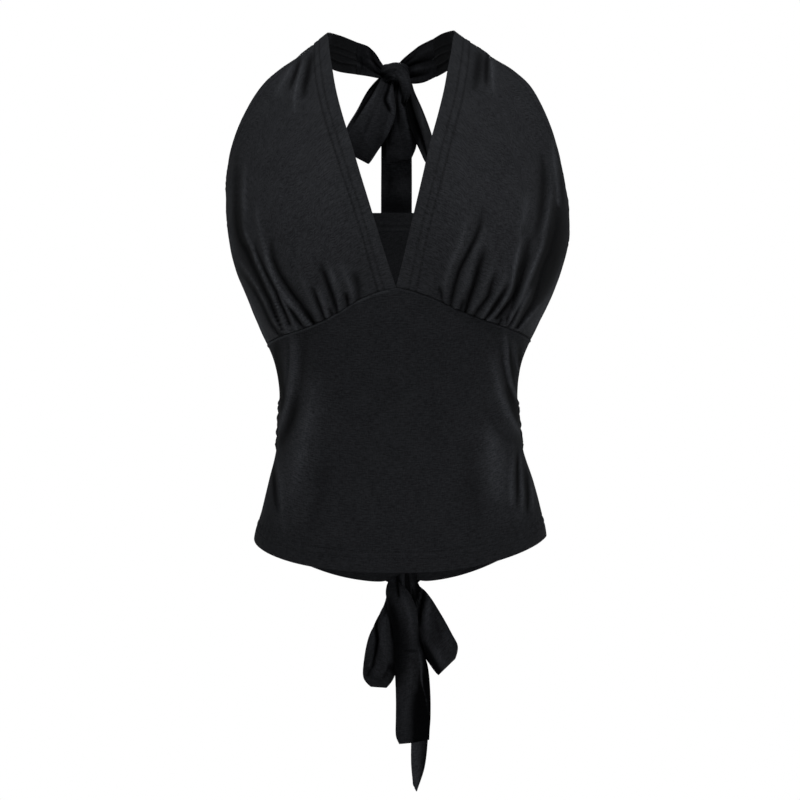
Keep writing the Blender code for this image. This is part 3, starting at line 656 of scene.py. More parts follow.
# the two gathered cups, each cut in one with its shoulder strap
cup = {
    "sections": (  # V edge: height, tilt, half gap, middle, depth; outer edge the same; handles
        (-270.5, 0, 0.3, -2.5, -98, -325, 0, 133.0, 0.0, 0, 80, 2, 0, 60),
        (-233, 0, 11.5, -3.8, -103, -290, -3, 152.0, 0.0, 0, 65, 38, 0, 108),
        (-192, 0, 22.4, -5.0, -107, -250, -6, 169.5, 0.0, 0, 60, 40, 0, 116),
        (-156, 0, 32.0, -6.3, -103, -197, -11, 179.0, 0.2, 0, 58, 28, 0, 98),
        (-125, 0, 39.8, -7.4, -95, -159, -6, 176.3, -2.0, -14, 52, 14, -1, 68),
        (-94, 0, 48.6, -8.0, -83, -125, -2, 169.0, -3.2, -33, 45, 5, 12, 40),
        (-67, 0, 55.2, -8.2, -65, -94, 0, 157.6, -3.2, -43, 36, 3, 16, 24),
        (-43, 0, 59.6, -8.2, -43, -64, 0, 141.0, -2.2, -45, 28, 6, 16, 14),
        (-22, 0, 63.4, -7.9, -22, -45, 0, 123.0, -2.2, -38, 20, 8, 16, 6),
        (-7, 0.5, 65.2, -7.6, -8, -31, 0, 104.2, -3.3, -23, 14, 6, 12, 1),
        (1.4, 1.0, 66.0, -7.3, 3, -18.6, 0, 87.6, -4.4, -2, 8, 0, 8, -2),
        (2.0, 1.2, 54.5, -6.9, 25, -35.6, -0.5, 61.0, -8.4, 24, 2, -2, 2, -2),
        (-3.4, 1.6, 37.7, -3.0, 47, -39.7, -1.0, 41.0, -0.5, 47, 0, 0, 0, 0),
    ),
    "steps": 80,
    "sideSections": 3,  # sewn to the side seam up to here
    "seamReach": 2.2,
    "columns": (200, ((0.0, 0.16, 0.88, 1.0), (0.0, 0.11, 0.93, 1.0))),
    "rows": (225, ((0.0, 0.34, 0.60, 1.0), (0.0, 1.1, 3.2, 12.0))),
    "neckLines": {-1: (12.2, 18.6), 1: (12.8, 20.4)},
    "armLines": (9.8,),
    "armStart": (3.2, 3.4, 3.6),  # sections where its edge is free, its stitches begin, its hem is full
    "gathered": {-1: (0.20, 0.70), 1: (0.18, 0.72)},  # where the bust seam gathers it, share across
    "gatherEdge": 14,
    "tuck": 0.6,
    "tuckPitch": (4.3, 2.9),
    "tuckReach": (7, 4, 3),
    "puff": 1.9,
    "puffSections": 0.9,
    "seamSink": 0.4,
    "seamWidth": 1.3,
    "slack": 0.3,
    "slackSizes": (90, 47, 23),
    "creaseDepth": 2.0,
    "seamShade": {-1: 0.5, 1: 2.5},
    "strapTurn": 10.8,  # the section from which the strap turns over
    "strapShade": 3.4,
    "lineShade": 0.9,
    "ease": 1.18,
    "shadedLeft": (  # painted light and shade: where the colour is made darker or lighter, in the manner of the creases
        (-3.0, 4.0, 0, (237, 150), (237, 204), (239, 230), (246, 250), (254, 268)),
        (-1.8, 7.0, 0, (238, 212), (244, 245), (254, 270), (266, 300), (276, 325)),
        (-2.2, 2.6, 0, *gathers["leftEdge"]),
        (2.0, 2.4, 0, (230, 160), (230, 226), (233, 246), (236, 262)),
        (3.8, 3.0, 0, (240, 278), (250, 300), (257, 316), (264, 332), (272, 350)),
        (3.8, 1.2, 0.1, *gathers["leftOuter"]),
        (4.4, 1.2, 0.1, *gathers["leftLong"]),
        (2.4, 1.2, 0.1, *gathers["leftShort"]),
        (2.6, 1.1, 0.1, *gathers["leftFoot"]),
        (-1.4, 1.7, 0.2, *gathers["leftHollow"]),
        (-1.2, 1.8, 0.1, *gathers["leftInner"]),
        (1.4, 1.1, 0.1, (316, 286), (322, 305), (328, 318)),
        (1.8, 1.2, 0.1, (329, 266), (334, 290), (338, 305), (340, 312)),
    ),
    "shadedRight": (
        (-6.0, 7.6, 0, (562, 200), (560, 216), (556, 240), (554, 255), (549, 270), (543, 285), (535, 303),
         (527, 318)),
        (4.4, 1.6, 0.1, (552, 136), (554, 160), (557, 190), (558, 204)),
        (-2.6, 2.2, 0, (558, 150), (562, 190), (563, 208)),
        (-2.2, 5.0, 0, (530, 232), (524, 262), (516, 290), (500, 318)),
        (-2.0, 1.6, 0.1, (551, 220), (548, 240), (543, 255), (537, 270), (531, 285)),
        (3.2, 1.2, 0.1, *gathers["rightOuter"]),
        (4.0, 1.2, 0.1, *gathers["rightLong"]),
        (1.0, 1.1, 0.1, *gathers["rightInner"]),
        (-1.0, 1.6, 0.1, (490, 264), (484, 285), (480, 295), (473, 305), (466, 316)),
        (1.4, 1.1, 0.1, *gathers["rightFoot"]),
        (1.4, 1.4, 0.1, (466, 222), (460, 245), (451, 265), (444, 284)),
        (4.2, 3.2, 0, (563, 252), (557, 280), (545, 304), (535, 325), (530, 334)),
    ),
    "creasesLeft": (
        (2.4, 1.7, 0.2, *gathers["leftLong"]),
        (-2.6, 2.6, 0.3, (270, 234), (272, 250), (275, 262), (281, 275), (291, 290), (299, 300), (306, 310),
         (314, 322)),
        (2.0, 1.6, 0.3, *gathers["leftOuter"]),
        (-1.8, 1.8, 0.3, *gathers["leftHollow"]),
        (1.6, 1.5, 0.2, *gathers["leftShort"]),
        (-2.0, 2.2, 0.2, (236, 260), (245, 275), (255, 290), (261, 300), (266, 310), (271, 320), (278, 330),
         (284, 338)),
        (1.4, 1.4, 0.2, *gathers["leftFoot"]),
        (-1.2, 1.4, 0.2, (287, 302), (291, 310), (301, 323)),
        (-1.6, 1.4, 1, (290, 306), (298, 317), (306, 329)),
        (-1.6, 1.6, 1, (305, 306), (312, 319), (316, 328)),
        (1.8, 1.6, 1, *gathers["leftInner"]),
        (-1.9, 1.7, 1, (311, 284), (317, 298), (322, 311), (325, 321)),
        (2.2, 1.7, 0.6, (316, 282), (321, 297), (325, 308), (328, 318)),
        (-2.4, 2.1, 0.8, (320, 262), (325, 276), (332, 294), (336, 306), (338, 316)),
        (1.9, 1.7, 0.6, (326, 259), (333, 279), (338, 296), (340, 312)),
        (-1.6, 1.5, 1, (328, 306), (331, 313), (334, 320)),
        (-2.4, 1.6, 1, (344, 290), (347, 300), (348, 311)),
        (1.6, 2.6, 1, (339, 260), (347, 280), (352, 296), (352, 309)),
        (-1.4, 3.0, 1, (352, 270), (357, 286), (358, 303)),
        (-2.4, 2.5, 0.4, *gathers["leftEdge"]),
        (1.6, 2.2, 0, (246, 160), (244, 195), (247, 226)),
        (-2.4, 3.0, 0, (312, 52), (307, 76), (302, 100)),
        (2.2, 2.4, 0, (305, 54), (299, 76), (295, 96), (294, 118)),
        (-2.0, 2.4, 0, (301, 56), (296, 73), (289, 92)),
        (1.4, 3.0, 0, (295, 60), (284, 80), (273, 100)),
    ),
    "creasesRight": (
        (1.4, 2.4, 0.6, (469, 212), (464, 232), (459, 247), (451, 265), (445, 284), (444, 300)),
        (-2.3, 2.2, 0.6, (484, 205), (478, 231), (469, 252), (461, 267), (455, 285), (450, 308)),
        (1.4, 2.2, 1, (486, 222), (481, 240), (474, 255), (469, 270), (466, 283), (460, 295), (454, 308)),
        (-3.2, 2.3, 0.8, (485, 246), (479, 266), (474, 284), (468, 301), (465, 313)),
        (-1.8, 1.3, 1, (464, 296), (461, 306), (458, 314)),
        (1.7, 1.7, 1, (494, 262), (486, 280), (480, 295), (473, 305), (466, 316)),
        (-2.0, 1.9, 0.8, (496, 270), (491, 284), (488, 295), (480, 305), (473, 316)),
        (1.7, 1.6, 1, *gathers["rightInner"]),
        (-2.4, 1.9, 1, (509, 284), (501, 295), (494, 305), (487, 315), (483, 321)),
        (2.4, 1.6, 0.3, *gathers["rightLong"]),
        (-2.8, 2.2, 0.4, (530, 236), (525, 255), (520, 270), (516, 285), (512, 296), (505, 305), (496, 316)),
        (2.2, 1.5, 0.3, *gathers["rightOuter"]),
        (-2.2, 2.4, 0, (530, 252), (525, 264), (521, 278), (517, 290), (513, 300), (507, 318)),
        (1.6, 1.5, 1, *gathers["rightFoot"]),
        (-2.4, 2.8, 0.6, (556, 170), (556, 200), (555, 226), (552, 240), (547, 255), (541, 270), (537, 285),
         (534, 295), (530, 305), (523, 315), (516, 326)),
        (1.7, 1.5, 1, (547, 296), (535, 310), (524, 321), (513, 333)),
        (-1.6, 1.3, 1, (520, 303), (514, 315), (508, 325)),
        (-1.8, 1.3, 1, (508, 313), (506, 321), (504, 329)),
        (-1.6, 1.3, 1, (502, 314), (499, 321), (497, 328)),
        (-1.8, 1.6, 1, (440, 284), (442, 294), (443, 305)),
        (-2.0, 3.6, 0, (541, 150), (543, 184), (540, 216), (534, 242)),
        (1.6, 1.6, 0, (552, 176), (550, 200), (546, 222), (540, 246)),
        (1.3, 3.5, 0, (527, 190), (525, 212), (521, 232)),
        (-1.8, 4.0, 0, (480, 50), (478, 68), (474, 92)),
        (-2.2, 2.4, 0, (488, 50), (487, 66), (486, 88)),
        (2.2, 2.2, 0, (491, 50), (492, 72), (494, 100)),
    ),
}


def cupLine(side, place):
    # across the cup at one section, bulging as its two handles say
    row = readTable(cup["sections"], place / (len(cup["sections"]) - 1))
    height, tilt, half, middle, deep = row[:5]
    inner = np.array([middle + side * half, deep, height + side * tilt])
    height, tilt, half, middle, deep = row[5:10]
    outer = np.array([middle + side * half, deep, height + side * tilt])
    vOut, vForward, sideIn, sideForward = row[10:]
    seam = bodyPoints(outer[2], 0.0 if side < 0 else 1.0, -1)
    outer += (seam - outer) * fade(place - cup["sideSections"])
    innerHandle = inner + (side * vOut, -vForward, 0)
    outerHandle = outer - (side * sideIn, sideForward, 0)
    step = np.linspace(0, 1, cup["steps"] + 1)[:, None]
    line = (inner * (1 - step) ** 3 + 3 * innerHandle * step * (1 - step) ** 2
            + 3 * outerHandle * step ** 2 * (1 - step) + outer * step ** 3)
    line[:, 2] = np.linspace(inner[2], outer[2], cup["steps"] + 1)
    return line


def cupPoints(side):
    columns, places = spread(*cup["columns"]), spread(*cup["rows"])
    apex = body["apexShare"]
    across = apex * (1 - columns) if side < 0 else apex + (1 - apex) * columns
    seam = bodyPoints(bustSeamHeight(across) + body["seamGap"], across, -1)
    shift = seam - pointsAlong(cupLine(side, 0), columns)
    points = [pointsAlong(cupLine(side, place), columns) + shift * fade(place / cup["seamReach"])
              for place in places]
    return np.array(points), *np.meshgrid(columns, places)


def tucks(fromV, up):
    # the finest gathers, uneven and close above the bust seam
    wide, narrow = cup["tuckPitch"]
    reach, slow, quick = cup["tuckReach"]
    waves = np.sin(fromV * 2 * pi / wide + 1.6 * np.sin(fromV / 9)) + 0.6 * np.sin(fromV * 2 * pi / narrow)
    reach = reach + slow * np.sin(fromV / 5.3) + quick * np.sin(fromV / 2.1)
    return cup["tuck"] * waves * np.exp(-up / reach)


def makeCup(side, word):
    points, share, place = cupPoints(side)
    fromV, up = gridSizes(points)
    fromArm = fromV[:, -1:] - fromV
    free, stitched, hemmed = cup["armStart"]
    neckLines = cup["neckLines"][side]
    first, last = cup["gathered"][side]
    gathered = fade((first - share) * cup["gatherEdge"]) * fade((share - last) * cup["gatherEdge"])

    folds = creaseHeights(points, cup["creases" + word], cup["creaseDepth"]) + gathered * tucks(fromV, up)
    edge = np.where(place > free, np.minimum(fromV, fromArm), np.minimum(fromV, fromArm + 4))
    folds *= (0.45 + 0.55 * (1 - np.exp(-up / 4))) * (1 - bell(edge, 6))  # calm at the seam and the hems
    heights = cup["puff"] * gathered * (1 - np.exp(-up / 5)) * fade(place / cup["puffSections"])
    heights -= cup["seamSink"] * bell(up, cup["seamWidth"])
    heights += cup["slack"] * hills(fromV, up, cup["slackSizes"], 3 + side) * fade((18 - fromV) / 10)
    heights += stitchRelief(fromV, up, neckLines)
    heights += stitchRelief(fromArm, up, cup["armLines"]) * fade((hemmed - place) * 3)
    points = pushOut(points, heights)
    points[..., 1] -= folds

    # painted light and shade: the relief in folds also darkens troughs and lightens ridges in the colour, and
    # to it are added the table's lines, a darker line along the bust seam, the darker turned strap and darker
    # lines beside the neck stitches
    folds += creaseHeights(points, cup["shaded" + word])
    folds -= cup["seamShade"][side] * bell(up, cup["seamWidth"])
    turned = fade((cup["strapTurn"] - place) * 2.5) * (1 - 0.45 * fade((12 - place) / 0.7))
    folds -= cup["strapShade"] * turned
    for line in neckLines:
        dimples = 1 + 0.8 * np.sin(up * 2 * pi / sewing["puckerPitch"])
        folds -= cup["lineShade"] * bell(fromV - line, cup["seamWidth"]) * dimples
    armRows = place[:, 0] > stitched
    lines = [lineOn(points, fromV, line) for line in neckLines]
    lines += [lineOn(points[armRows], fromArm[armRows], line) for line in cup["armLines"]]
    thread = addStitches("cupStitches" + word, lines)
    sewCloth("cup" + word, points, litCupJersey, ["cup_" + word.lower()],
             folds=folds)


sides = ((-1, "Left"), (1, "Right"))
for side, word in sides:
    makeCup(side, word)
print("cups sewn")


# midriff front and the back
front = {
    "columns": (240, ((0.0, 0.37, 0.63, 1.0), (0.0, 0.23, 0.77, 1.0))),
    "rows": (146, ((0.0, 0.22, 0.94, 1.0), (0.0, 0.085, 0.97, 1.0))),
    "hemLines": (13.6, 20.0),
    "topLines": (),
    "folds": (),
    "creases": (
        (3.4, 4.0, 0, (291, 318), (295, 350), (294, 366), (291, 382), (288, 398), (283, 415), (277, 438)),
        (-3.0, 2.4, 0, (276, 338), (278, 362), (280, 384), (277, 406)),
        (-2.8, 1.8, 0, (520, 342), (520, 368), (522, 394)),
        (1.8, 1.8, 0, (284, 330), (286, 352), (286, 370), (284, 388), (279, 408)),
        (-1.8, 1.4, 0, (289, 336), (290, 356), (289, 372), (286, 390)),
        (-2.6, 4.2, 0, (305, 335), (303, 362), (301, 384), (297, 404), (291, 424), (280, 450)),
        (-2.6, 4.5, 0, (300, 398), (293, 420), (286, 436), (277, 450)),
        (3.4, 8.0, 0, (317, 365), (312, 394), (308, 418), (301, 442), (295, 468), (289, 500)),
        (1.2, 5.0, 0, (306, 444), (301, 462), (298, 486)),
        (-3.0, 2.2, 0, (274, 452), (275, 474), (277, 494), (280, 520)),
        (1.4, 2.2, 0, (268, 478), (266, 500), (263, 522)),
        (-1.2, 8.0, 0, (330, 450), (320, 490), (310, 535)),
        (1.0, 9.0, 0, (322, 480), (306, 505), (292, 534)),
        (3.0, 2.4, 0, (505, 325), (507, 350), (509, 368), (513, 384), (519, 402)),
        (2.0, 3.5, 0, (510, 328), (510, 346), (512, 362)),
        (1.8, 1.4, 0, (516, 338), (516, 352), (518, 368), (521, 382)),
        (-2.4, 1.3, 0, (513, 342), (514, 360), (517, 378), (521, 394)),
        (-3.2, 2.6, 0, (499, 338), (502, 362), (506, 382), (512, 400), (521, 420)),
        (3.8, 3.2, 0, (495, 346), (497, 374), (500, 390), (506, 406), (513, 420), (522, 436)),
        (-1.6, 4.2, 0, (482, 396), (493, 424), (506, 438), (524, 442)),
        (3.2, 8.0, 0, (489, 425), (493, 448), (496, 468), (497, 505)),
        (2.4, 1.8, 0, (512, 436), (513, 456), (512, 478), (511, 502)),
        (-2.4, 1.8, 0, (517, 446), (517, 470), (517, 500)),
        (2.6, 1.5, 0, (520, 452), (521, 476), (522, 498), (521, 520)),
        (-1.4, 1.6, 0, (507, 450), (507, 475), (506, 500)),
        (1.2, 1.6, 0, (502, 468), (502, 490), (501, 512)),
        (-2.0, 1.6, 0, (526, 470), (527, 495), (527, 520)),
        (1.8, 1.5, 0, (531, 478), (532, 498), (533, 520)),
        (-1.0, 9.0, 0, (466, 440), (474, 486), (480, 536)),
    ),
    # painted light and shade: lines where the colour is made lighter or darker, in the manner of the creases
    "shaded": (
        (2.8, 9.0, 0, (312, 385), (308, 420), (302, 445), (297, 470), (288, 520)),
        (2.6, 7.0, 0, (285, 452), (282, 476), (282, 505), (284, 540)),
        (4.4, 3.4, 0, (292, 316), (293, 350), (292, 376), (289, 398)),
        (16.0, 1.2, 0, (292, 338), (292, 362), (291, 384), (288, 400), (284, 415), (280, 427), (277, 436)),
        (1.6, 5.0, 0, (298, 322), (296, 350), (299, 384), (297, 410)),
        (-8.0, 2.8, 0, (276, 340), (278, 362), (282, 386), (283, 402), (280, 414)),
        (-1.0, 3.6, 0, (297, 386), (294, 404), (289, 424), (282, 440)),
        (6.0, 1.4, 0, (277, 456), (279, 474), (281, 490), (283, 516)),
        (-4.0, 1.6, 0, (273, 466), (274, 482), (275, 498), (278, 514)),
        (2.6, 9.0, 0, (488, 410), (492, 440), (494, 470), (502, 528)),
        (3.8, 3.2, 0, (506, 320), (505, 350), (510, 378), (519, 404)),
        (14.0, 1.1, 0, (505, 334), (506, 352), (507, 365), (510, 380), (514, 392), (519, 404)),
        (-8.0, 1.8, 0, (509, 336), (510, 352), (511, 365), (513, 380), (517, 393)),
        (3.8, 1.2, 0, (514, 334), (514, 352), (518, 372), (521, 386)),
        (4.6, 3.4, 0, (490, 346), (496, 380), (505, 410), (516, 428), (524, 440)),
        (8.0, 1.2, 0, (495, 372), (499, 388), (502, 400), (508, 413), (515, 425), (519, 433)),
        (2.6, 6.0, 0, (500, 436), (506, 470), (512, 500), (522, 530)),
        (3.0, 1.4, 0, (511, 456), (511, 490), (510, 510)),
        (-4.4, 1.8, 0, (517, 452), (517, 475), (517, 495), (516, 514)),
        (9.0, 1.1, 0, (520, 450), (521, 472), (522, 490), (522, 514)),
        (-4.8, 1.8, 0, (525, 466), (526, 482), (527, 498), (527, 512)),
        (5.0, 1.3, 0, (530, 474), (532, 492), (533, 512)),
        (-6.0, 1.6, 0, (519, 346), (520, 366), (522, 390)),
        (-7.0, 3.2, 0, (506, 384), (511, 400), (516, 415), (520, 428)),
        (0.6, 26.0, 0, (312, 352), (310, 440), (306, 545)),
        (0.7, 26.0, 0, (488, 352), (490, 440), (494, 545)),
    ),
}
back = {
    "columns": (170, ((0.0, 0.37, 0.63, 1.0), (0.0, 0.42, 0.58, 1.0))),
    "rows": (140, ((0.0, 0.2, 0.82, 1.0), (0.0, 0.06, 0.94, 1.0))),
    "hemLines": (13.6, 20.0),
    "topLines": (12.6, 18.9),
    "folds": (  # height, half width, sharpness, start, then share and place where it begins, bends, ends
        (2.4, 6.0, 1.4, 0.0, 0.05, 0.52, 0.12, 0.66, 0.15, 0.86),
        (-2.6, 6.0, 2.0, 0.0, 0.06, 0.50, 0.17, 0.60, 0.23, 0.76),
        (1.6, 7.0, 1.6, 0.0, 0.08, 0.47, 0.21, 0.56, 0.30, 0.72),
        (-2.2, 7.0, 2.0, 0.0, 0.16, 0.14, 0.13, 0.28, 0.05, 0.40),
        (1.6, 6.0, 1.5, 0.0, 0.24, 0.10, 0.20, 0.26, 0.10, 0.37),
        (2.4, 6.0, 1.4, 0.0, 0.95, 0.50, 0.87, 0.64, 0.85, 0.84),
        (-2.6, 6.0, 2.0, 0.0, 0.94, 0.49, 0.82, 0.60, 0.78, 0.75),
        (1.6, 7.0, 1.6, 0.0, 0.92, 0.46, 0.79, 0.56, 0.71, 0.70),
        (-2.2, 7.0, 2.0, 0.0, 0.85, 0.12, 0.88, 0.27, 0.95, 0.39),
        (1.5, 6.0, 1.5, 0.0, 0.77, 0.10, 0.80, 0.25, 0.90, 0.36),
        (-1.4, 9.0, 2.0, 0.0, 0.42, 0.10, 0.40, 0.28, 0.33, 0.45),
        (-1.3, 9.0, 2.0, 0.0, 0.61, 0.10, 0.64, 0.28, 0.70, 0.44),
    ),
    "creases": (),
    "shaded": (),
}


panel = {  # what the front and the back share
    "inset": 0.0003,  # share of the width, at each side seam
    "slack": 0.45,
    "slackSizes": (120, 61, 29),
    "seamSink": 0.7,
    "seamWidth": 1.1,
    "tieHeights": (-388.5, -428.5),  # the edges of the ties sewn into the side seams
    "tieBump": 2.2,
    "rolledEdge": 0.8,
    "rolledWidth": 0.9,
    "rolledShine": (0.5, 4.5),  # painted highlight on the rolled edge: everywhere, and more on the left
}


def makePanel(name, facing, spec, low, high, nodes):
    columns = panel["inset"] + spread(*spec["columns"]) * (1 - 2 * panel["inset"])
    share, row = np.meshgrid(columns, spread(*spec["rows"]))
    points = bodyPoints(low(columns) + (high(columns) - low(columns)) * row, share, facing)
    across, up = gridSizes(points)
    width, fromTop = across[:, -1:], up[-1:] - up
    edge = np.minimum(across, width - across)
    folds = foldHeights(spec["folds"], share, row, width) + creaseHeights(points, spec["creases"])
    folds *= (1 - bell(edge + 1.5, 5)) * (1 - bell(fromTop, 6))  # calm at the seams

    heights = panel["slack"] * hills(across, up, panel["slackSizes"], 11 - facing) * (1 - bell(edge, 15))
    heights -= panel["seamSink"] * bell(edge, panel["seamWidth"])  # the side seam draws its edges in
    for height in panel["tieHeights"]:  # and the ties sewn in there stand it out
        heights += panel["tieBump"] * bell(points[..., 2] - height, 3) * bell(edge, 6)
    heights += stitchRelief(up, across, spec["hemLines"])
    if spec["topLines"]:
        heights += stitchRelief(fromTop, across, spec["topLines"])
    else:
        heights += panel["rolledEdge"] * bell(fromTop - 0.9, panel["rolledWidth"])  # at the bust seam
    points = pushOut(points, heights)
    points[..., 1] += facing * folds

    # painted light and shade: the relief in folds also darkens troughs and lightens ridges in the colour, and
    # the table's lines are added to it
    folds += creaseHeights(points, spec["shaded"])
    if not spec["topLines"]:  # painted highlight where the rolled edge catches the light, everywhere and more on the left
        every, left = panel["rolledShine"]
        folds += (every + left * fade(share * 5 - 1.9)) * bell(fromTop - 1.0, 1.1)
    flip = np.transpose(points, (1, 0, 2))
    lines = [lineOn(flip, up.T, line) for line in spec["hemLines"]]
    lines += [lineOn(flip, fromTop.T, line) for line in spec["topLines"]]
    thread = addStitches(name + "Stitches", lines)
    sewCloth(name, points, bodyJersey, nodes, folds=folds)


makePanel("frontPanel", -1, front, lambda share: hemHeight(share, -1),
          lambda share: bustSeamHeight(share) - body["seamGap"], ["front_panel"])
makePanel("backPanel", 1, back, lambda share: hemHeight(share, 1), backTopHeight, ["back_panel"])
print("front and back sewn")
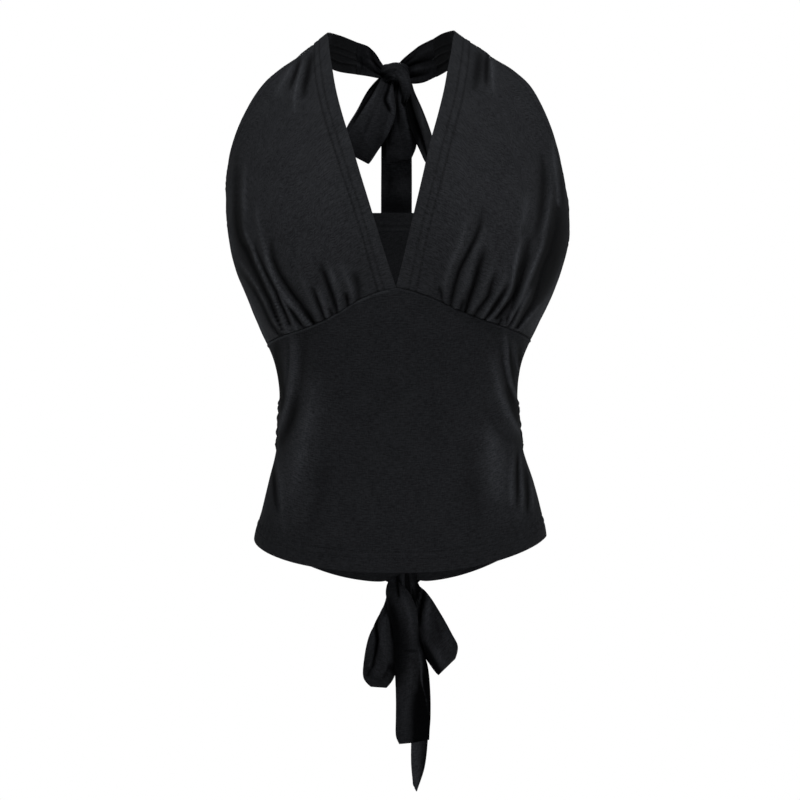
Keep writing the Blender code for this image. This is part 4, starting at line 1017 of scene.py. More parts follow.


# ties, loops and tails: one edge, the other edge, belly towards the front, height of the pleats
# the last table of each tie is painted light and shade: lines where its colour is made lighter or darker, in
# the manner of the creases
ties = {
    "neckStrapLeft": {
        "node": "neck_strap_left",
        "rows": (
            (-43.2, 43.6, -4.6, -44.0, 43.6, -38.4, 0.0, 0.0),
            (-40.5, 46.2, -5.2, -41.0, 46.2, -38.9, 0.0, 0.1),
            (-32.0, 55.5, -7.5, -32.0, 55.5, -39.2, 0.8, 0.5),
            (-24.5, 61.0, -13.6, -25.0, 61.0, -39.8, 1.2, 1.0),
            (-19.0, 63.5, -22.5, -19.5, 63.5, -40.4, 1.4, 1.3),
            (-14.0, 64.5, -29.0, -14.5, 64.5, -40.8, 1.0, 1.3),
            (-7.0, 65.0, -31.0, -7.0, 65.0, -40.0, 0.5, 1.0),
        ),
        "creases": (
            (1.0, 1.6, 0, (336, 48), (352, 53), (368, 61), (381, 74)),
            (-1.4, 1.8, 0, (334, 55), (352, 60), (368, 68), (382, 77)),
            (1.0, 1.8, 0, (352, 64), (364, 68), (376, 76)),
            (-2.2, 1.4, 0, (370, 48), (374, 62), (381, 76)),
            (1.6, 1.4, 0, (366, 48), (369, 60), (376, 72)),
            (-1.6, 1.2, 0, (360, 56), (362, 64), (361, 74)),
        ),
        "shaded": ((-1.7, 16.0, 0, (300, 56), (360, 58), (420, 70)), (3.4, 1.6, 0, (344, 57), (354, 60),
                   (360, 67))),
    },
    "neckStrapRight": {
        "node": "neck_strap_right",
        "rows": (
            (36.6, 43.6, -1.2, 42.2, 43.6, -40.2, 0.0, 0.0),
            (34.0, 46.2, -1.9, 39.8, 46.2, -41.0, 0.0, 0.1),
            (23.5, 55.5, -6.2, 29.0, 55.5, -45.3, 0.8, 0.5),
            (17.0, 61.0, -10.6, 19.5, 61.0, -46.4, 1.2, 1.0),
            (11.0, 63.0, -14.8, 13.5, 63.5, -45.8, 1.4, 1.3),
            (5.0, 64.0, -20.5, 8.5, 64.5, -44.5, 1.0, 1.3),
            (-2.0, 65.0, -28.0, 1.0, 65.0, -41.0, 0.5, 1.0),
        ),
        "creases": (
            (-1.8, 1.8, 0, (401, 69), (414, 64), (430, 60), (447, 52)),
            (1.2, 1.8, 0, (403, 64), (416, 56), (430, 50), (446, 42)),
            (1.2, 1.8, 0, (403, 73), (416, 70), (432, 67), (446, 60)),
            (-1.4, 2.2, 0, (400, 66), (408, 54), (420, 46), (434, 40)),
            (-1.4, 1.6, 0, (404, 77), (416, 76), (430, 74)),
            (-2.0, 1.8, 0, (399, 72), (408, 62), (418, 53)),
            (1.6, 1.4, 0, (402, 76), (412, 72), (424, 69)),
        ),
        "shaded": ((-1.2, 16.0, 0, (370, 74), (420, 62), (480, 56)), (-4.0, 5.0, 0, (397, 62), (404, 69),
                   (416, 71))),
    },
    "neckLoopLeft": {
        "node": "neck_loop_left",
        "rows": (
            (-16.0, 61.0, -40.0, -4.0, 60.5, -43.0, 0.0, 0.9),
            (-18.5, 60.0, -42.5, -5.5, 58.5, -48.0, 1.0, 1.0),
            (-25.5, 56.0, -56.5, -4.8, 52.5, -58.5, 3.0, 0.8),
            (-39.4, 52.0, -79.0, -3.0, 51.0, -80.0, 4.0, 0.4),
            (-50.6, 53.0, -97.5, -10.5, 53.0, -101.5, 3.0, 0.0),
            (-56.5, 56.5, -111.0, -22.5, 57.0, -120.0, 1.0, 0.0),
            (-59.5, 62.0, -117.5, -31.0, 64.0, -131.5, 0.0, 0.0),
            (-58.5, 68.5, -110.5, -32.0, 70.0, -125.0, -1.0, 0.0),
            (-55.4, 73.0, -93.0, -19.0, 73.0, -105.0, -2.0, 0.0),
            (-44.5, 74.0, -74.5, -8.5, 73.5, -83.0, -2.0, 0.4),
            (-33.3, 71.5, -54.5, -6.5, 70.5, -64.0, -1.5, 0.8),
            (-22.0, 68.0, -41.5, -9.0, 67.0, -48.8, 0.0, 0.9),
            (-15.0, 67.0, -38.0, -4.0, 66.5, -42.0, 0.0, 0.9),
        ),
        "creases": (
            (2.6, 1.5, 0, (394, 74), (391, 90), (390, 100), (393, 110), (393, 118), (390, 128)),
            (-3.4, 1.5, 0, (390, 78), (388, 90), (385, 100), (388, 109), (391, 114)),
            (1.6, 2.0, 0, (382, 80), (375, 94), (367, 110), (361, 126)),
            (-1.4, 2.2, 0, (378, 100), (373, 114), (366, 132), (362, 146)),
            (-1.2, 3.0, 0, (388, 118), (384, 132), (374, 148)),
            (1.0, 3.0, 0, (360, 122), (364, 138), (372, 150)),
        ),
        "shaded": (
            (2.8, 13.0, 0, (380, 92), (373, 118), (368, 146), (362, 180)),
            (2.4, 5.0, 0, (393, 110), (389, 124), (385, 138)),
            (4.0, 1.3, 0, (394, 72), (391, 90), (390, 100), (393, 109), (393, 118), (389, 129), (384, 140)),
            (3.4, 4.0, 0, (388, 112), (387, 124), (380, 138)),
            (-9.0, 1.6, 0, (391, 76), (388, 90), (385, 100), (388, 107), (391, 112)),
            (-7.0, 1.4, 0, (380, 74), (373, 92), (368, 100), (362, 109), (357, 117), (352, 126)),
            (3.0, 1.4, 0, (382, 82), (376, 93), (371, 101), (365, 109), (360, 117), (355, 126)),
            (-3.0, 3.4, 0, (376, 72), (384, 76), (394, 78)),
        ),
    },
    "neckLoopRight": {
        "node": "neck_loop_right",
        "rows": (
            (3.5, 61.5, -42.0, 9.0, 65.0, -40.0, 0.0, 0.3),
            (6.0, 61.0, -48.0, 12.0, 67.0, -45.0, 0.0, 0.5),
            (7.0, 57.0, -60.0, 14.0, 75.0, -54.0, 1.0, 0.6),
            (10.0, 54.0, -79.0, 18.0, 81.0, -69.5, 1.5, 0.3),
            (15.5, 54.0, -100.0, 24.0, 84.0, -91.0, 1.5, 0.0),
            (24.0, 56.5, -119.0, 31.5, 86.5, -108.0, 1.0, 0.0),
            (30.0, 59.0, -131.0, 38.0, 88.0, -118.0, 0.0, 0.0),
            (32.5, 61.5, -127.0, 40.0, 89.5, -114.0, -0.5, 0.0),
            (27.5, 62.5, -106.0, 34.0, 90.0, -93.0, -1.0, 0.0),
            (20.5, 62.0, -85.0, 25.5, 87.0, -71.0, -1.5, 0.3),
            (14.5, 63.5, -64.5, 17.5, 80.0, -54.0, -1.0, 0.6),
            (12.0, 65.0, -46.5, 13.5, 70.0, -42.5, 0.0, 0.4),
            (9.0, 66.0, -40.0, 9.5, 69.0, -38.0, 0.0, 0.2),
        ),
        "creases": (
            (1.2, 1.3, 0, (411, 92), (418, 113), (426, 140)),
            (-1.2, 1.2, 0, (409, 98), (415, 116), (422, 140)),
        ),
        "shaded": (
            (-12.0, 2.8, 0, (402, 76), (407, 100), (410, 114), (413, 124), (415, 134), (415, 144),
             (417, 156)),
            (-2.0, 4.0, 0, (408, 90), (415, 116), (420, 134), (424, 156)),
            (6.0, 1.3, 0, (411, 80), (416.5, 100), (419, 108), (421, 116), (422.6, 124), (425.2, 132),
             (427.5, 146)),
        ),
    },
    "neckTailShort": {
        "node": "neck_tail_short",
        "rows": (
            (-5.5, 62.5, -43.0, 6.5, 62.0, -43.0, 0.0, 1.0),
            (-6.8, 62.5, -54.0, 8.0, 62.0, -54.0, 0.5, 1.3),
            (-8.0, 61.5, -67.0, 9.0, 62.0, -67.0, 2.0, 1.2),
            (-11.0, 62.5, -84.0, 13.0, 62.0, -84.0, 3.0, 0.6),
            (-13.0, 64.5, -103.0, 18.6, 64.0, -101.0, 2.5, 0.2),
            (-13.0, 66.5, -118.0, 19.4, 67.0, -113.0, 1.5, 0.0),
            (-13.0, 69.5, -131.5, 14.0, 69.5, -126.5, 1.0, 0.0),
        ),
        "creases": (
            (-3.0, 1.7, 0, (396, 82), (397, 98), (398, 116), (399, 134)),
            (1.8, 2.2, 0, (403, 92), (405, 106), (408, 124), (410, 144)),
            (-1.6, 1.6, 0, (408, 100), (411, 118), (413, 136)),
            (1.2, 2.4, 0, (392, 104), (392, 126), (391, 146)),
        ),
        "shaded": (
            (8.0, 2.0, 0, (398, 86), (400.5, 98), (403, 108), (405, 116), (408, 126), (409.5, 136),
             (411, 150)),
            (-2.2, 3.0, 0, (395, 96), (397, 110), (396, 124)),
            (-2.0, 4.0, 0, (384, 158), (398, 161), (412, 160)),
            (1.6, 9.0, 0, (404, 120), (402, 140), (400, 170)),
        ),
    },
    "neckTailLong": {
        "node": "neck_tail_long",
        "rows": (
            (-6.0, 69.5, -40.0, 5.0, 69.5, -40.0, 0.0, 0.8),
            (-12.0, 74.0, -60.0, 10.0, 74.0, -60.0, 0.0, 0.8),
            (-17.5, 80.0, -92.0, 14.0, 80.0, -92.0, 0.0, 0.4),
            (-18.2, 87.5, -142.0, 14.8, 87.5, -142.0, 0.3, 0.1),
            (-18.3, 92.5, -180.0, 14.8, 92.5, -180.0, 0.6, 0.0),
            (-18.3, 94.5, -220.0, 14.8, 94.5, -220.0, 0.3, 0.0),
            (-18.3, 94.5, -258.0, 14.8, 94.5, -258.0, 0.0, 0.0),
            (-18.3, 93.5, -294.0, 14.8, 93.5, -302.0, 0.0, 0.0),
        ),
        "creases": ((-1.6, 3.0, 0, (390, 140), (391, 172), (388, 200)), (1.4, 3.0, 0, (402, 140), (401, 178),
                    (404, 210))),
        "shaded": (
            (-3.6, 12.0, 0, (374, 206), (396, 207), (418, 206)),
            (6.0, 7.0, 0, (374, 163), (396, 165), (418, 163)),
            (3.4, 5.0, 0, (372, 158), (396, 159), (420, 157)),
            (-9.0, 4.4, 0, (406, 84), (408, 108), (412, 128), (413, 152)),
        ),
    },
    "waistLoopLeft": {
        "node": "waist_loop_left",
        "rows": (
            (-6.0, 107.0, -582.0, 4.0, 108.0, -590.0, 0.0, 0.4),
            (-10.5, 105.5, -590.0, -2.0, 107.0, -600.0, 0.5, 0.7),
            (-14.0, 103.5, -604.0, -3.0, 106.0, -612.0, 1.5, 0.8),
            (-22.0, 102.0, -621.0, -2.8, 105.0, -630.0, 3.0, 0.5),
            (-32.0, 101.0, -643.0, -1.6, 106.0, -652.0, 4.0, 0.2),
            (-37.0, 102.0, -668.0, -0.5, 108.0, -672.0, 3.0, 0.0),
            (-37.5, 105.0, -686.0, -5.5, 111.0, -688.0, 1.0, 0.0),
            (-29.0, 110.0, -696.0, -13.0, 115.0, -697.5, 0.0, 0.0),
            (-33.0, 116.0, -685.0, -5.0, 120.0, -684.0, -1.0, 0.0),
            (-31.5, 119.0, -664.0, -3.0, 123.5, -664.0, -2.0, 0.0),
            (-25.0, 118.0, -639.0, -3.5, 123.0, -639.0, -2.0, 0.4),
            (-15.0, 115.5, -615.0, -5.0, 119.0, -617.0, -1.0, 0.8),
            (-8.0, 113.0, -594.0, -3.0, 115.0, -602.0, 0.0, 0.7),
        ),
        "creases": (
            (3.0, 2.6, 0, (388, 600), (385, 618), (384, 634), (385, 652), (385, 674)),
            (-6.5, 1.7, 0, (382, 608), (376.5, 626), (377.5, 640), (375, 655), (371, 668)),
            (2.2, 1.7, 0, (380, 616), (373, 636), (369, 656), (371, 674)),
            (-2.4, 1.6, 0, (377, 660), (370, 670), (366, 678)),
            (1.4, 2.4, 0, (380, 660), (376, 672), (372, 682)),
            (-1.6, 2.0, 0, (389, 660), (386, 672), (380, 682)),
            (-2.4, 1.5, 0, (392, 600), (391, 620), (393, 640)),
            (-1.4, 1.4, 0, (372, 642), (369, 654), (368, 664)),
            (3.0, 1.2, 0, (384, 606), (382, 622), (382, 640), (385, 656)),
        ),
        "shaded": (
            (-4.0, 1.3, 0, (395, 604), (396, 626), (396, 650), (396, 676)),
            (-4.0, 2.6, 0, (387, 596), (388, 604), (386, 612), (382, 618)),
            (4.2, 1.8, 0, (384, 600), (381.5, 612), (374, 628), (370, 640), (367, 654)),
            (-5.0, 1.6, 0, (380, 612), (376, 626), (377.5, 640), (375, 655)),
            (-1.6, 3.0, 0, (366, 664), (372, 674), (384, 684)),
            (-4.0, 3.0, 0, (388, 664), (393, 669), (398, 674)),
        ),
    },
    "waistLoopRight": {
        "node": "waist_loop_right",
        "rows": (
            (11.0, 108.0, -580.0, 9.0, 108.0, -592.0, 0.0, 0.4),
            (21.0, 106.5, -585.5, 17.5, 107.5, -600.0, 0.5, 0.8),
            (34.0, 104.5, -597.5, 20.0, 107.5, -614.0, 1.5, 0.7),
            (46.5, 103.0, -617.0, 22.5, 107.5, -633.0, 3.0, 0.4),
            (58.0, 103.0, -638.0, 29.0, 105.0, -656.0, 3.5, 0.2),
            (64.6, 105.0, -652.0, 37.0, 105.5, -674.0, 2.0, 0.0),
            (61.5, 110.0, -666.0, 43.5, 110.0, -683.5, 0.0, 0.0),
            (61.0, 116.0, -656.0, 37.5, 116.0, -677.0, -1.0, 0.0),
            (55.0, 120.0, -638.0, 24.5, 120.0, -657.0, -2.0, 0.0),
            (44.0, 120.0, -616.0, 20.5, 119.5, -635.0, -2.0, 0.4),
            (31.0, 117.0, -598.0, 20.0, 117.0, -614.0, -1.0, 0.8),
            (19.0, 113.0, -586.0, 15.0, 115.0, -599.0, 0.0, 0.8),
        ),
        "creases": (
            (2.6, 1.7, 0, (429, 596), (427, 612), (426, 630), (431, 652)),
            (-5.0, 1.8, 0, (424, 590), (422, 600), (420, 614), (420, 628)),
            (1.8, 2.6, 0, (436, 612), (443, 630), (448, 648)),
            (-1.2, 2.6, 0, (434, 616), (438, 628), (442, 640)),
            (1.4, 2.0, 0, (434, 646), (439, 656), (443, 668)),
        ),
        "shaded": (
            (-5.0, 2.0, 0, (424, 588), (424, 600), (420, 614), (419, 624)),
            (4.6, 2.0, 0, (430, 592), (429, 600), (427, 612), (426, 626)),
            (2.6, 4.0, 0, (430, 600), (428, 620), (430, 636)),
            (-1.6, 3.0, 0, (422, 626), (421, 640), (424, 652)),
            (-9.0, 3.0, 0, (422, 641), (429, 655), (436, 668), (443, 680)),
            (3.4, 4.0, 0, (432, 642), (439, 655), (446, 668)),
            (1.8, 4.0, 0, (444, 620), (450, 640), (454, 656)),
        ),
    },
    "waistTailShort": {
        "node": "waist_tail_short",
        "rows": (
            (-9.0, 104.5, -582.5, -2.0, 105.5, -580.5, 0.0, 0.0),
            (-12.2, 102.0, -591.5, 5.5, 103.5, -586.0, 1.5, 0.1),
            (-12.6, 101.0, -602.5, 13.5, 102.0, -596.5, 2.5, 0.3),
            (-10.5, 100.5, -616.0, 19.5, 102.5, -611.0, 3.0, 0.3),
            (-7.0, 100.5, -630.0, 21.5, 104.0, -628.0, 3.0, 0.2),
            (-3.8, 101.0, -650.0, 23.0, 105.0, -648.0, 3.5, 0.1),
            (-3.5, 101.5, -675.0, 31.5, 106.0, -672.0, 3.5, 0.0),
            (-2.4, 102.0, -700.0, 34.5, 106.5, -700.0, 3.5, 0.0),
            (-2.4, 103.0, -728.0, 35.0, 107.0, -728.0, 3.0, 0.0),
            (-2.4, 104.0, -748.0, 34.0, 107.0, -744.0, 3.0, 0.0),
            (1.4, 104.0, -758.0, 33.5, 107.0, -754.5, 3.0, 0.0),
        ),
        "foldsBack": ((0.4, (421, 636), (419, 656), (417, 682), (415, 704), (411, 746)),),
        "creases": (
            (-1.8, 1.2, 0, (403, 650), (411, 651), (419, 650)),
            (1.2, 1.4, 0, (405, 653), (412, 654), (418, 653)),
            (-2.6, 1.5, 0, (397, 580), (398, 590), (400, 599)),
            (2.4, 3.0, 0, (400, 582), (405, 598), (410, 614), (412, 636)),
            (-1.4, 2.4, 0, (391, 592), (394, 612), (399, 640)),
            (-1.2, 3.0, 0, (396, 690), (400, 716), (398, 742)),
            (1.4, 2.4, 0, (408, 660), (407, 690), (404, 730)),
            (3.4, 1.2, 0, (421, 652), (422, 668), (426, 680), (427, 696), (428, 712)),
            (-1.6, 1.8, 0, (417, 616), (418, 640), (419, 664)),
        ),
        "shaded": (
            (-9.0, 5.5, 0, (428, 664), (424, 690), (421, 710), (420, 780)),
            (-9.0, 5.0, 0, (420, 690), (419, 716), (419, 780)),
            (3.4, 4.5, 0, (401, 584), (404, 598), (409, 614), (412, 634), (412, 660)),
            (-6.0, 1.4, 0, (397, 578), (398, 590), (399, 598)),
            (-2.6, 2.0, 0, (388, 594), (390, 605), (392, 618)),
            (-1.6, 9.0, 0, (405, 610), (405, 640), (404, 690)),
            (-7.0, 6.5, 0, (391, 604), (393, 630), (395, 656), (395, 694)),
            (1.8, 7.0, 0, (404, 672), (402, 700), (401, 726), (402, 760)),
            (2.6, 2.0, 0, (410, 656), (411, 676), (409, 700)),
            (24.0, 0.9, 0, (418, 646), (421, 666), (422, 684), (426, 700), (427, 720)),
        ),
    },
    "waistTailLong": {
        "node": "waist_tail_long",
        "rows": (
            (-1.0, 116.5, -594.0, 14.0, 116.5, -594.0, 0.0, 0.6),
            (3.0, 120.5, -630.0, 20.0, 121.0, -630.0, 0.0, 0.5),
            (9.0, 122.5, -670.0, 30.0, 127.5, -670.0, 0.0, 0.2),
            (13.0, 122.5, -715.0, 33.0, 130.5, -715.0, 0.0, 0.0),
            (14.3, 121.5, -750.0, 32.5, 131.0, -750.0, 0.5, 0.0),
            (14.3, 120.5, -780.0, 28.8, 129.0, -785.0, 1.0, 0.0),
            (16.5, 120.0, -804.0, 20.0, 122.5, -811.5, 0.5, 0.0),
        ),
        "creases": (
            (2.0, 2.2, 0, (414, 724), (413, 748), (414, 772), (415, 796)),
            (-1.4, 2.4, 0, (421, 724), (421, 748), (420, 770), (418, 790)),
        ),
        "shaded": (
            (8.0, 4.6, 0, (412, 716), (411, 745), (412, 770), (414, 800)),
            (3.0, 8.0, 0, (416, 716), (415, 760), (416, 806)),
            (-3.0, 3.0, 0, (425, 724), (425, 750), (423, 776), (419, 792)),
        ),
    },
}


strip = {
    "wall": 1.3,
    "slack": 0.3,
    "slackSizes": (37, 17),
    "foldShade": 2,
    "mostFoldShade": 7,
    "rolled": (0.8, 0.35),  # from the edge: where its hem stands up, how high
    "pressed": (2.6, 0.3),  # and where it is pressed down
    "hemWidth": 0.9,
}


def pleats(across, turn=0.0):
    # three broad pleats and five fine ones
    return 0.7 * np.cos(across * 6 * pi + 0.6 + turn) + 0.5 * np.cos(across * 10 * pi + 2)


def hemRoll(edge):
    (up, high), (down, low) = strip["rolled"], strip["pressed"]
    return high * bell(edge - up, strip["hemWidth"]) - low * bell(edge - down, strip["hemWidth"])


def stripPoints(table, columns=32, rows=130):
    across = np.linspace(0, 1, columns + 1)
    row = readTable(table, np.linspace(0, 1, rows + 1))
    points = row[:, None, :3] + (row[:, None, 3:6] - row[:, None, :3]) * across[:, None]
    points[..., 1] -= row[:, 6:7] * 4 * across * (1 - across) + row[:, 7:8] * pleats(across)
    return points


def makeStrip(name, spec):
    points = stripPoints(spec["rows"])
    across, along = gridSizes(points)
    edge = np.minimum(across, across[:, -1:] - across)
    heights = creaseHeights(points, spec["creases"])
    if "Loop" in name:  # its far half lies behind and keeps its own folds
        heights[len(heights) // 2:] = 0
    turned = foldBack(points, spec.get("foldsBack", ()))
    # painted light and shade: the creases, the darker cloth where it turns back and the painted table's lines
    # lighten and darken the colour
    folds = heights + np.maximum(turned * strip["foldShade"], -strip["mostFoldShade"])
    folds += creaseHeights(points, spec["shaded"])
    heights += turned + strip["slack"] * hills(across, along, strip["slackSizes"], len(name)) + hemRoll(edge)
    points[..., 1] -= heights
    sewCloth(name, points, shadedTieJersey, [spec["node"]], wall=strip["wall"],
             folds=folds)


# knots: a pleated core under rolls of cloth, all millimetres
knots = {
    "neckKnot": {
        "node": "neck_knot",
        "core": (-3.1, 66.0, -34.8, 14.6, 8.0, 11.0),
        "rolls": (  # each: across, depth, height, half width, half thickness
            (
                (-17.0, 66.0, -36.0, 4.0, 3.0),
                (-14.0, 59.0, -35.0, 6.0, 3.6),
                (-6.0, 55.5, -32.0, 7.2, 4.0),
                (2.0, 56.5, -33.0, 7.0, 4.0),
                (8.0, 61.0, -38.0, 5.5, 3.6),
                (11.0, 68.0, -42.0, 3.0, 3.0),
            ),
            (
                (-8.0, 62.0, -30.5, 4.0, 2.6),
                (-2.0, 55.5, -32.0, 6.0, 3.6),
                (5.0, 52.0, -39.5, 6.6, 4.0),
                (8.2, 51.5, -48.5, 5.6, 4.0),
                (8.6, 53.5, -57.0, 4.8, 3.6),
                (6.6, 57.5, -64.5, 3.6, 3.0),
                (4.0, 62.0, -70.0, 2.2, 2.2),
            ),
            (
                (-13.0, 64.0, -46.0, 2.6, 2.6),
                (-13.0, 58.0, -42.5, 3.6, 3.2),
                (-8.0, 54.5, -40.0, 4.2, 3.4),
                (-2.5, 54.5, -41.5, 4.2, 3.4),
                (1.0, 58.0, -46.0, 3.0, 3.0),
            ),
        ),
        # painted light and shade: lines where the knot's colour is made lighter or darker
        "shaded": (
            (2.6, 4.0, 0, (374, 66), (386, 64), (400, 68)),
            (-6.0, 2.6, 0, (372, 72), (384, 76), (394, 78)),
            (3.4, 4.0, 0, (396, 70), (402, 77), (407, 85), (408, 98)),
            (-7.0, 1.8, 0, (392, 80), (397, 85), (400, 92), (404, 102)),
        ),
    },
    "waistKnot": {
        "node": "waist_knot",
        "core": (7.0, 113.5, -592.0, 13.5, 5.0, 10.0),
        "rolls": (
            (
                (12.0, 111.0, -575.0, 3.0, 2.4),
                (16.0, 107.5, -581.0, 4.0, 3.0),
                (20.0, 106.5, -590.0, 4.2, 3.2),
                (22.0, 107.5, -599.0, 3.6, 3.0),
                (21.5, 111.0, -606.0, 2.2, 2.2),
            ),
            (
                (2.0, 110.5, -574.0, 3.0, 2.2),
                (-3.5, 107.5, -579.5, 4.2, 2.8),
                (-8.0, 106.5, -587.0, 4.4, 3.0),
                (-10.0, 108.0, -596.0, 3.4, 2.6),
                (-9.0, 111.0, -603.0, 2.0, 2.0),
            ),
        ),
        "bundle": (
            (-5.5, 111.5, -560.0, 22.0, 111.5, -560.0, 1.0, 1.6),
            (-3.0, 109.0, -570.0, 20.5, 109.5, -570.0, 1.5, 2.2),
            (-1.8, 107.5, -580.0, 19.8, 108.0, -580.0, 1.5, 2.4),
            (-1.5, 107.0, -592.0, 19.5, 107.5, -592.0, 1.0, 2.2),
            (-1.0, 107.5, -604.0, 19.0, 108.0, -604.0, 0.5, 1.8),
            (0.0, 109.0, -614.0, 18.0, 109.5, -614.0, 0.5, 1.2),
        ),
        # painted light and shade: lines where the knot's colour is made lighter or darker
        "shaded": (
            (3.0, 2.6, 0, (390, 576), (392, 586), (394, 598)),
            (-7.0, 1.6, 0, (397, 568), (398, 590), (400, 602)),
            (4.0, 2.2, 0, (402, 566), (403, 588), (404, 606)),
            (-6.0, 1.6, 0, (407, 568), (409, 588), (410, 600)),
            (3.0, 1.4, 0, (412, 570), (412.5, 590), (413, 598)),
            (-8.0, 3.0, 0, (416, 572), (418, 590), (415, 604), (416, 614)),
            (3.4, 1.4, 0, (420, 594), (420.5, 600), (421, 607)),
        ),
    },
}


def unitRows(rows):
    return rows / np.linalg.norm(rows, axis=1, keepdims=True)


def addRoll(shape, path, around=28, rows=36):
    # a band of cloth round a knot: a closed roll along its path, with fine pleats along it
    row = readTable(path, np.linspace(0, 1, rows + 1))
    middle = row[:, :3]
    ahead = unitRows(np.gradient(middle, axis=0))
    wide = unitRows(np.cross(ahead, (0.0, -1.0, 0.0)))
    thick = np.cross(wide, ahead)
    turn = np.linspace(0, 2 * pi, around + 1)
    turn[-1] = 0
    pleated = 1 + 0.16 * np.cos(7 * turn + 0.7) + 0.10 * np.cos(11 * turn)
    closing = np.sqrt(np.clip(1 - np.abs(np.linspace(-1, 1, rows + 1)) ** 6, 0, 1))[:, None, None]
    ring = (wide[:, None] * (row[:, 3:4] * np.cos(turn))[..., None]
            + thick[:, None] * (row[:, 4:5] * np.sin(turn) * pleated)[..., None])
    fresh = addGrid(shape, middle[:, None] + ring * closing)
    bmesh.ops.remove_doubles(shape, verts=list(fresh), dist=1e-6)


def addBand(shape, points, wall=1.2):
    # a flat band as a closed wall
    fresh = addGrid(shape, points)
    faces = list({face for vert in fresh for face in vert.link_faces})
    bmesh.ops.recalc_face_normals(shape, faces=faces)
    bmesh.ops.solidify(shape, geom=faces, thickness=wall * mm)


def makeKnot(name, spec):
    ball = bmesh.new()
    bmesh.ops.create_uvsphere(ball, u_segments=64, v_segments=40, radius=1)
    centre, half = np.array(spec["core"][:3]), np.array(spec["core"][3:])
    for vert in ball.verts:
        unit = np.array(vert.co)
        square = unit / np.sum(np.abs(unit) ** 3.0) ** (1 / 3.0)
        folds = 0.05 * sin(unit[2] * 8 + unit[0] * 5)
        vert.co = Vector((centre + half * square * (1 + folds)) * mm)
    for path in spec["rolls"]:
        addRoll(ball, path)
    if "bundle" in spec:
        addBand(ball, stripPoints(spec["bundle"], 28, 40))
    bmesh.ops.recalc_face_normals(ball, faces=ball.faces)
    uvLayer, foldLayer = addLayers(ball)
    # painted light and shade on the knot's colour, from its table's lines
    lightAndShade = paintedShadeOf(creaseHeights(np.array([vert.co / mm for vert in ball.verts]), spec["shaded"]))
    for vert, value in zip(ball.verts, lightAndShade):
        vert[foldLayer] = value
    for face in ball.faces:
        for loop in face.loops:
            loop[uvLayer].uv = (loop.vert.co.x / mm, loop.vert.co.z / mm)
    return finishPiece(name, ball, shadedTieJersey, [spec["node"]])


knotPieces = {name: makeKnot(name, spec) for name, spec in knots.items()}
for name, spec in ties.items():
    makeStrip(name, spec)
print("bows tied")

waistTie = {
    "rows": (  # lower edge: share of the half back, height; upper edge the same; distance out; pleats
        (0.004, -430.0, 0.004, -390.0, 0.6, 0.2),
        (0.045, -432.0, 0.070, -393.5, 2.2, 0.7),
        (0.105, -436.0, 0.195, -402.0, 2.8, 0.6),
        (0.285, -462.0, 0.415, -432.0, 3.4, 0.4),
        (0.485, -501.0, 0.615, -472.0, 3.4, 0.4),
        (0.690, -541.0, 0.800, -518.0, 3.8, 0.6),
        (0.825, -567.0, 0.915, -552.0, 5.0, 0.8),
        (0.905, -580.0, 0.975, -570.0, 6.2, 0.9),
        (0.945, -586.0, 1.010, -584.2, 6.9, 0.8),
    ),
    "columns": 32,
    "steps": 160,
    "shift": 0.014,  # both end a little right of the middle, under the knot
    "width": 40,
}


def makeWaistTie(side, word):
    shares = np.linspace(0, 1, waistTie["steps"] + 1)
    columns = np.linspace(0, 1, waistTie["columns"] + 1)
    row = readTable(waistTie["rows"], shares)
    flat = row[:, None, :2] + (row[:, None, 2:4] - row[:, None, :2]) * columns[:, None]
    across = flat[..., 0] / 2 if side < 0 else 1 - flat[..., 0] / 2
    across = across + waistTie["shift"] * shares[:, None] ** 4
    points = bodyPoints(flat[..., 1], across, 1)
    out = points * (1, 1, 0) - (points[:, :1] * (0.5, 0, 0))
    out /= np.linalg.norm(out, axis=2, keepdims=True)
    edge = np.minimum(columns, 1 - columns) * waistTie["width"]
    distance = row[:, 4:5] + row[:, 5:6] * pleats(columns, side) + hemRoll(edge)
    sewCloth("waistTie" + word, points + out * distance[..., None], shadedTieJersey, ["waist_tie_" + word.lower()],
             wall=strip["wall"])


for side, word in sides:
    makeWaistTie(side, word)
print("waist ties sewn")

# camera, light and studio
lens = bpy.data.cameras.new("camera")
lens.sensor_width = view["film"]
lens.lens = view["film"] * view["distance"] / (view["pixels"] * view["perPixel"])
camera = bpy.data.objects.new("camera", lens)
camera.location = (Vector(view["target"]) - Vector((0, view["distance"], 0))) * mm
camera.rotation_euler = (radians(90), 0, 0)
bpy.context.scene.collection.objects.link(camera)
bpy.context.scene.camera = camera

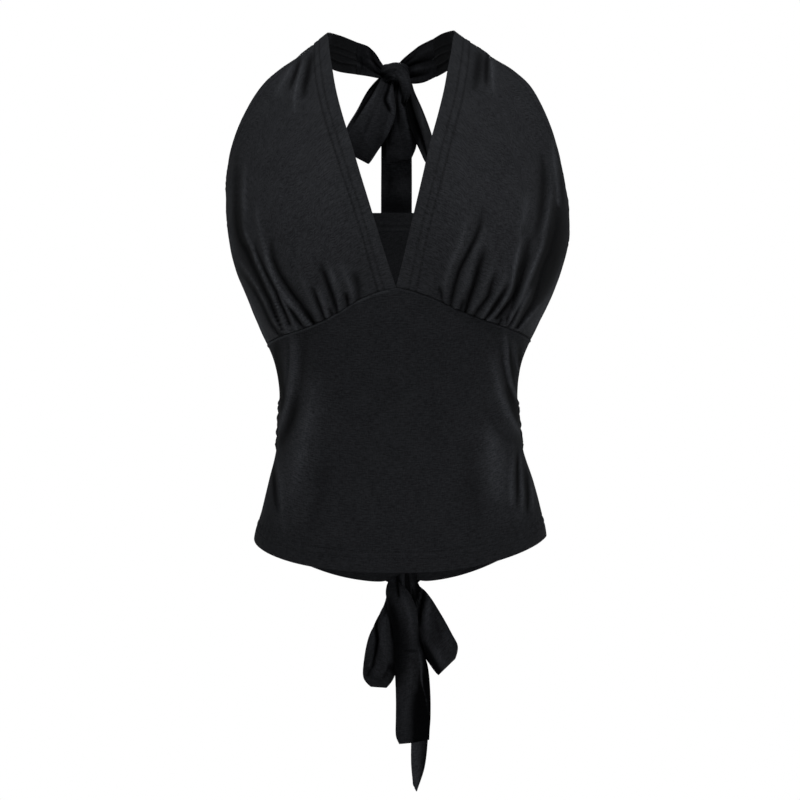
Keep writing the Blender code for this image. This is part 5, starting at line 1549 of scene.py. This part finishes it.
daylight = (0.96, 0.98, 1.0)
lights = (  # name, place, aim, size, watts
    ("key", (0, -1.6, 1.7), (0, 0, -0.3), (0.9, 0.7), 39),
    ("top", (0, -0.4, 2.2), (0, 0, -0.3), (0.9, 0.7), 11),
    ("sideLeft", (-2.0, -0.9, 0.0), (0, 0, -0.4), (0.7, 1.2), 13),
    ("sideRight", (2.0, -0.9, 0.0), (0, 0, -0.4), (0.7, 1.2), 14),
    ("fill", (1.3, -2.2, -0.2), (0, 0, -0.4), (0.7, 0.9), 7),
    ("behind", (0, 2.6, 0.7), (0, 0, -0.4), (0.5, 1.2), 115),
)
for name, place, aim, size, watts in lights:
    data = bpy.data.lights.new(name, "AREA")
    data.shape = "RECTANGLE"
    data.size, data.size_y = size
    data.energy = watts
    data.color = daylight
    lamp = bpy.data.objects.new(name, data)
    lamp.location = place
    lamp.rotation_euler = (Vector(aim) - Vector(place)).to_track_quat("-Z", "Y").to_euler()
    bpy.context.scene.collection.objects.link(lamp)


def whiteWhereSeen(tree, lit, seen, output):
    # the camera sees white, and the cloth is lit by the softer shader
    ray, either = tree.nodes.new("ShaderNodeLightPath"), tree.nodes.new("ShaderNodeMixShader")
    tree.links.new(ray.outputs["Is Camera Ray"], either.inputs[0])
    tree.links.new(lit.outputs[0], either.inputs[1])
    tree.links.new(seen.outputs[0], either.inputs[2])
    tree.links.new(either.outputs[0], tree.nodes[output].inputs["Surface"])


studio = {
    "light": 0.02,
    "floorHeight": -1.35,
    "floorSize": 2.4,
    "paper": (0.93, 0.93, 0.93, 1),
    "paperRoughness": 0.9,
}
world = bpy.data.worlds.new("studio")
world.use_nodes = True
soft = world.node_tree.nodes["Background"]
soft.inputs["Color"].default_value = (1, 1, 1, 1)
soft.inputs["Strength"].default_value = studio["light"]
seen = world.node_tree.nodes.new("ShaderNodeBackground")
seen.inputs["Color"].default_value = (1, 1, 1, 1)
whiteWhereSeen(world.node_tree, soft, seen, "World Output")
bpy.context.scene.world = world
bpy.context.scene.view_settings.view_transform = "Standard"

paleFloor, tree, shader = newMaterial("paleFloor")
shader.inputs["Base Color"].default_value = studio["paper"]
shader.inputs["Roughness"].default_value = studio["paperRoughness"]
paper = tree.nodes.new("ShaderNodeEmission")
paper.inputs["Strength"].default_value = 1.0
whiteWhereSeen(tree, shader, paper, "Material Output")
floor = bmesh.new()
bmesh.ops.create_grid(floor, x_segments=2, y_segments=2, size=studio["floorSize"],
                      matrix=Matrix.Translation((0, 0, studio["floorHeight"])))
floorPiece = addPiece("floor", floor, paleFloor)
print("studio set")
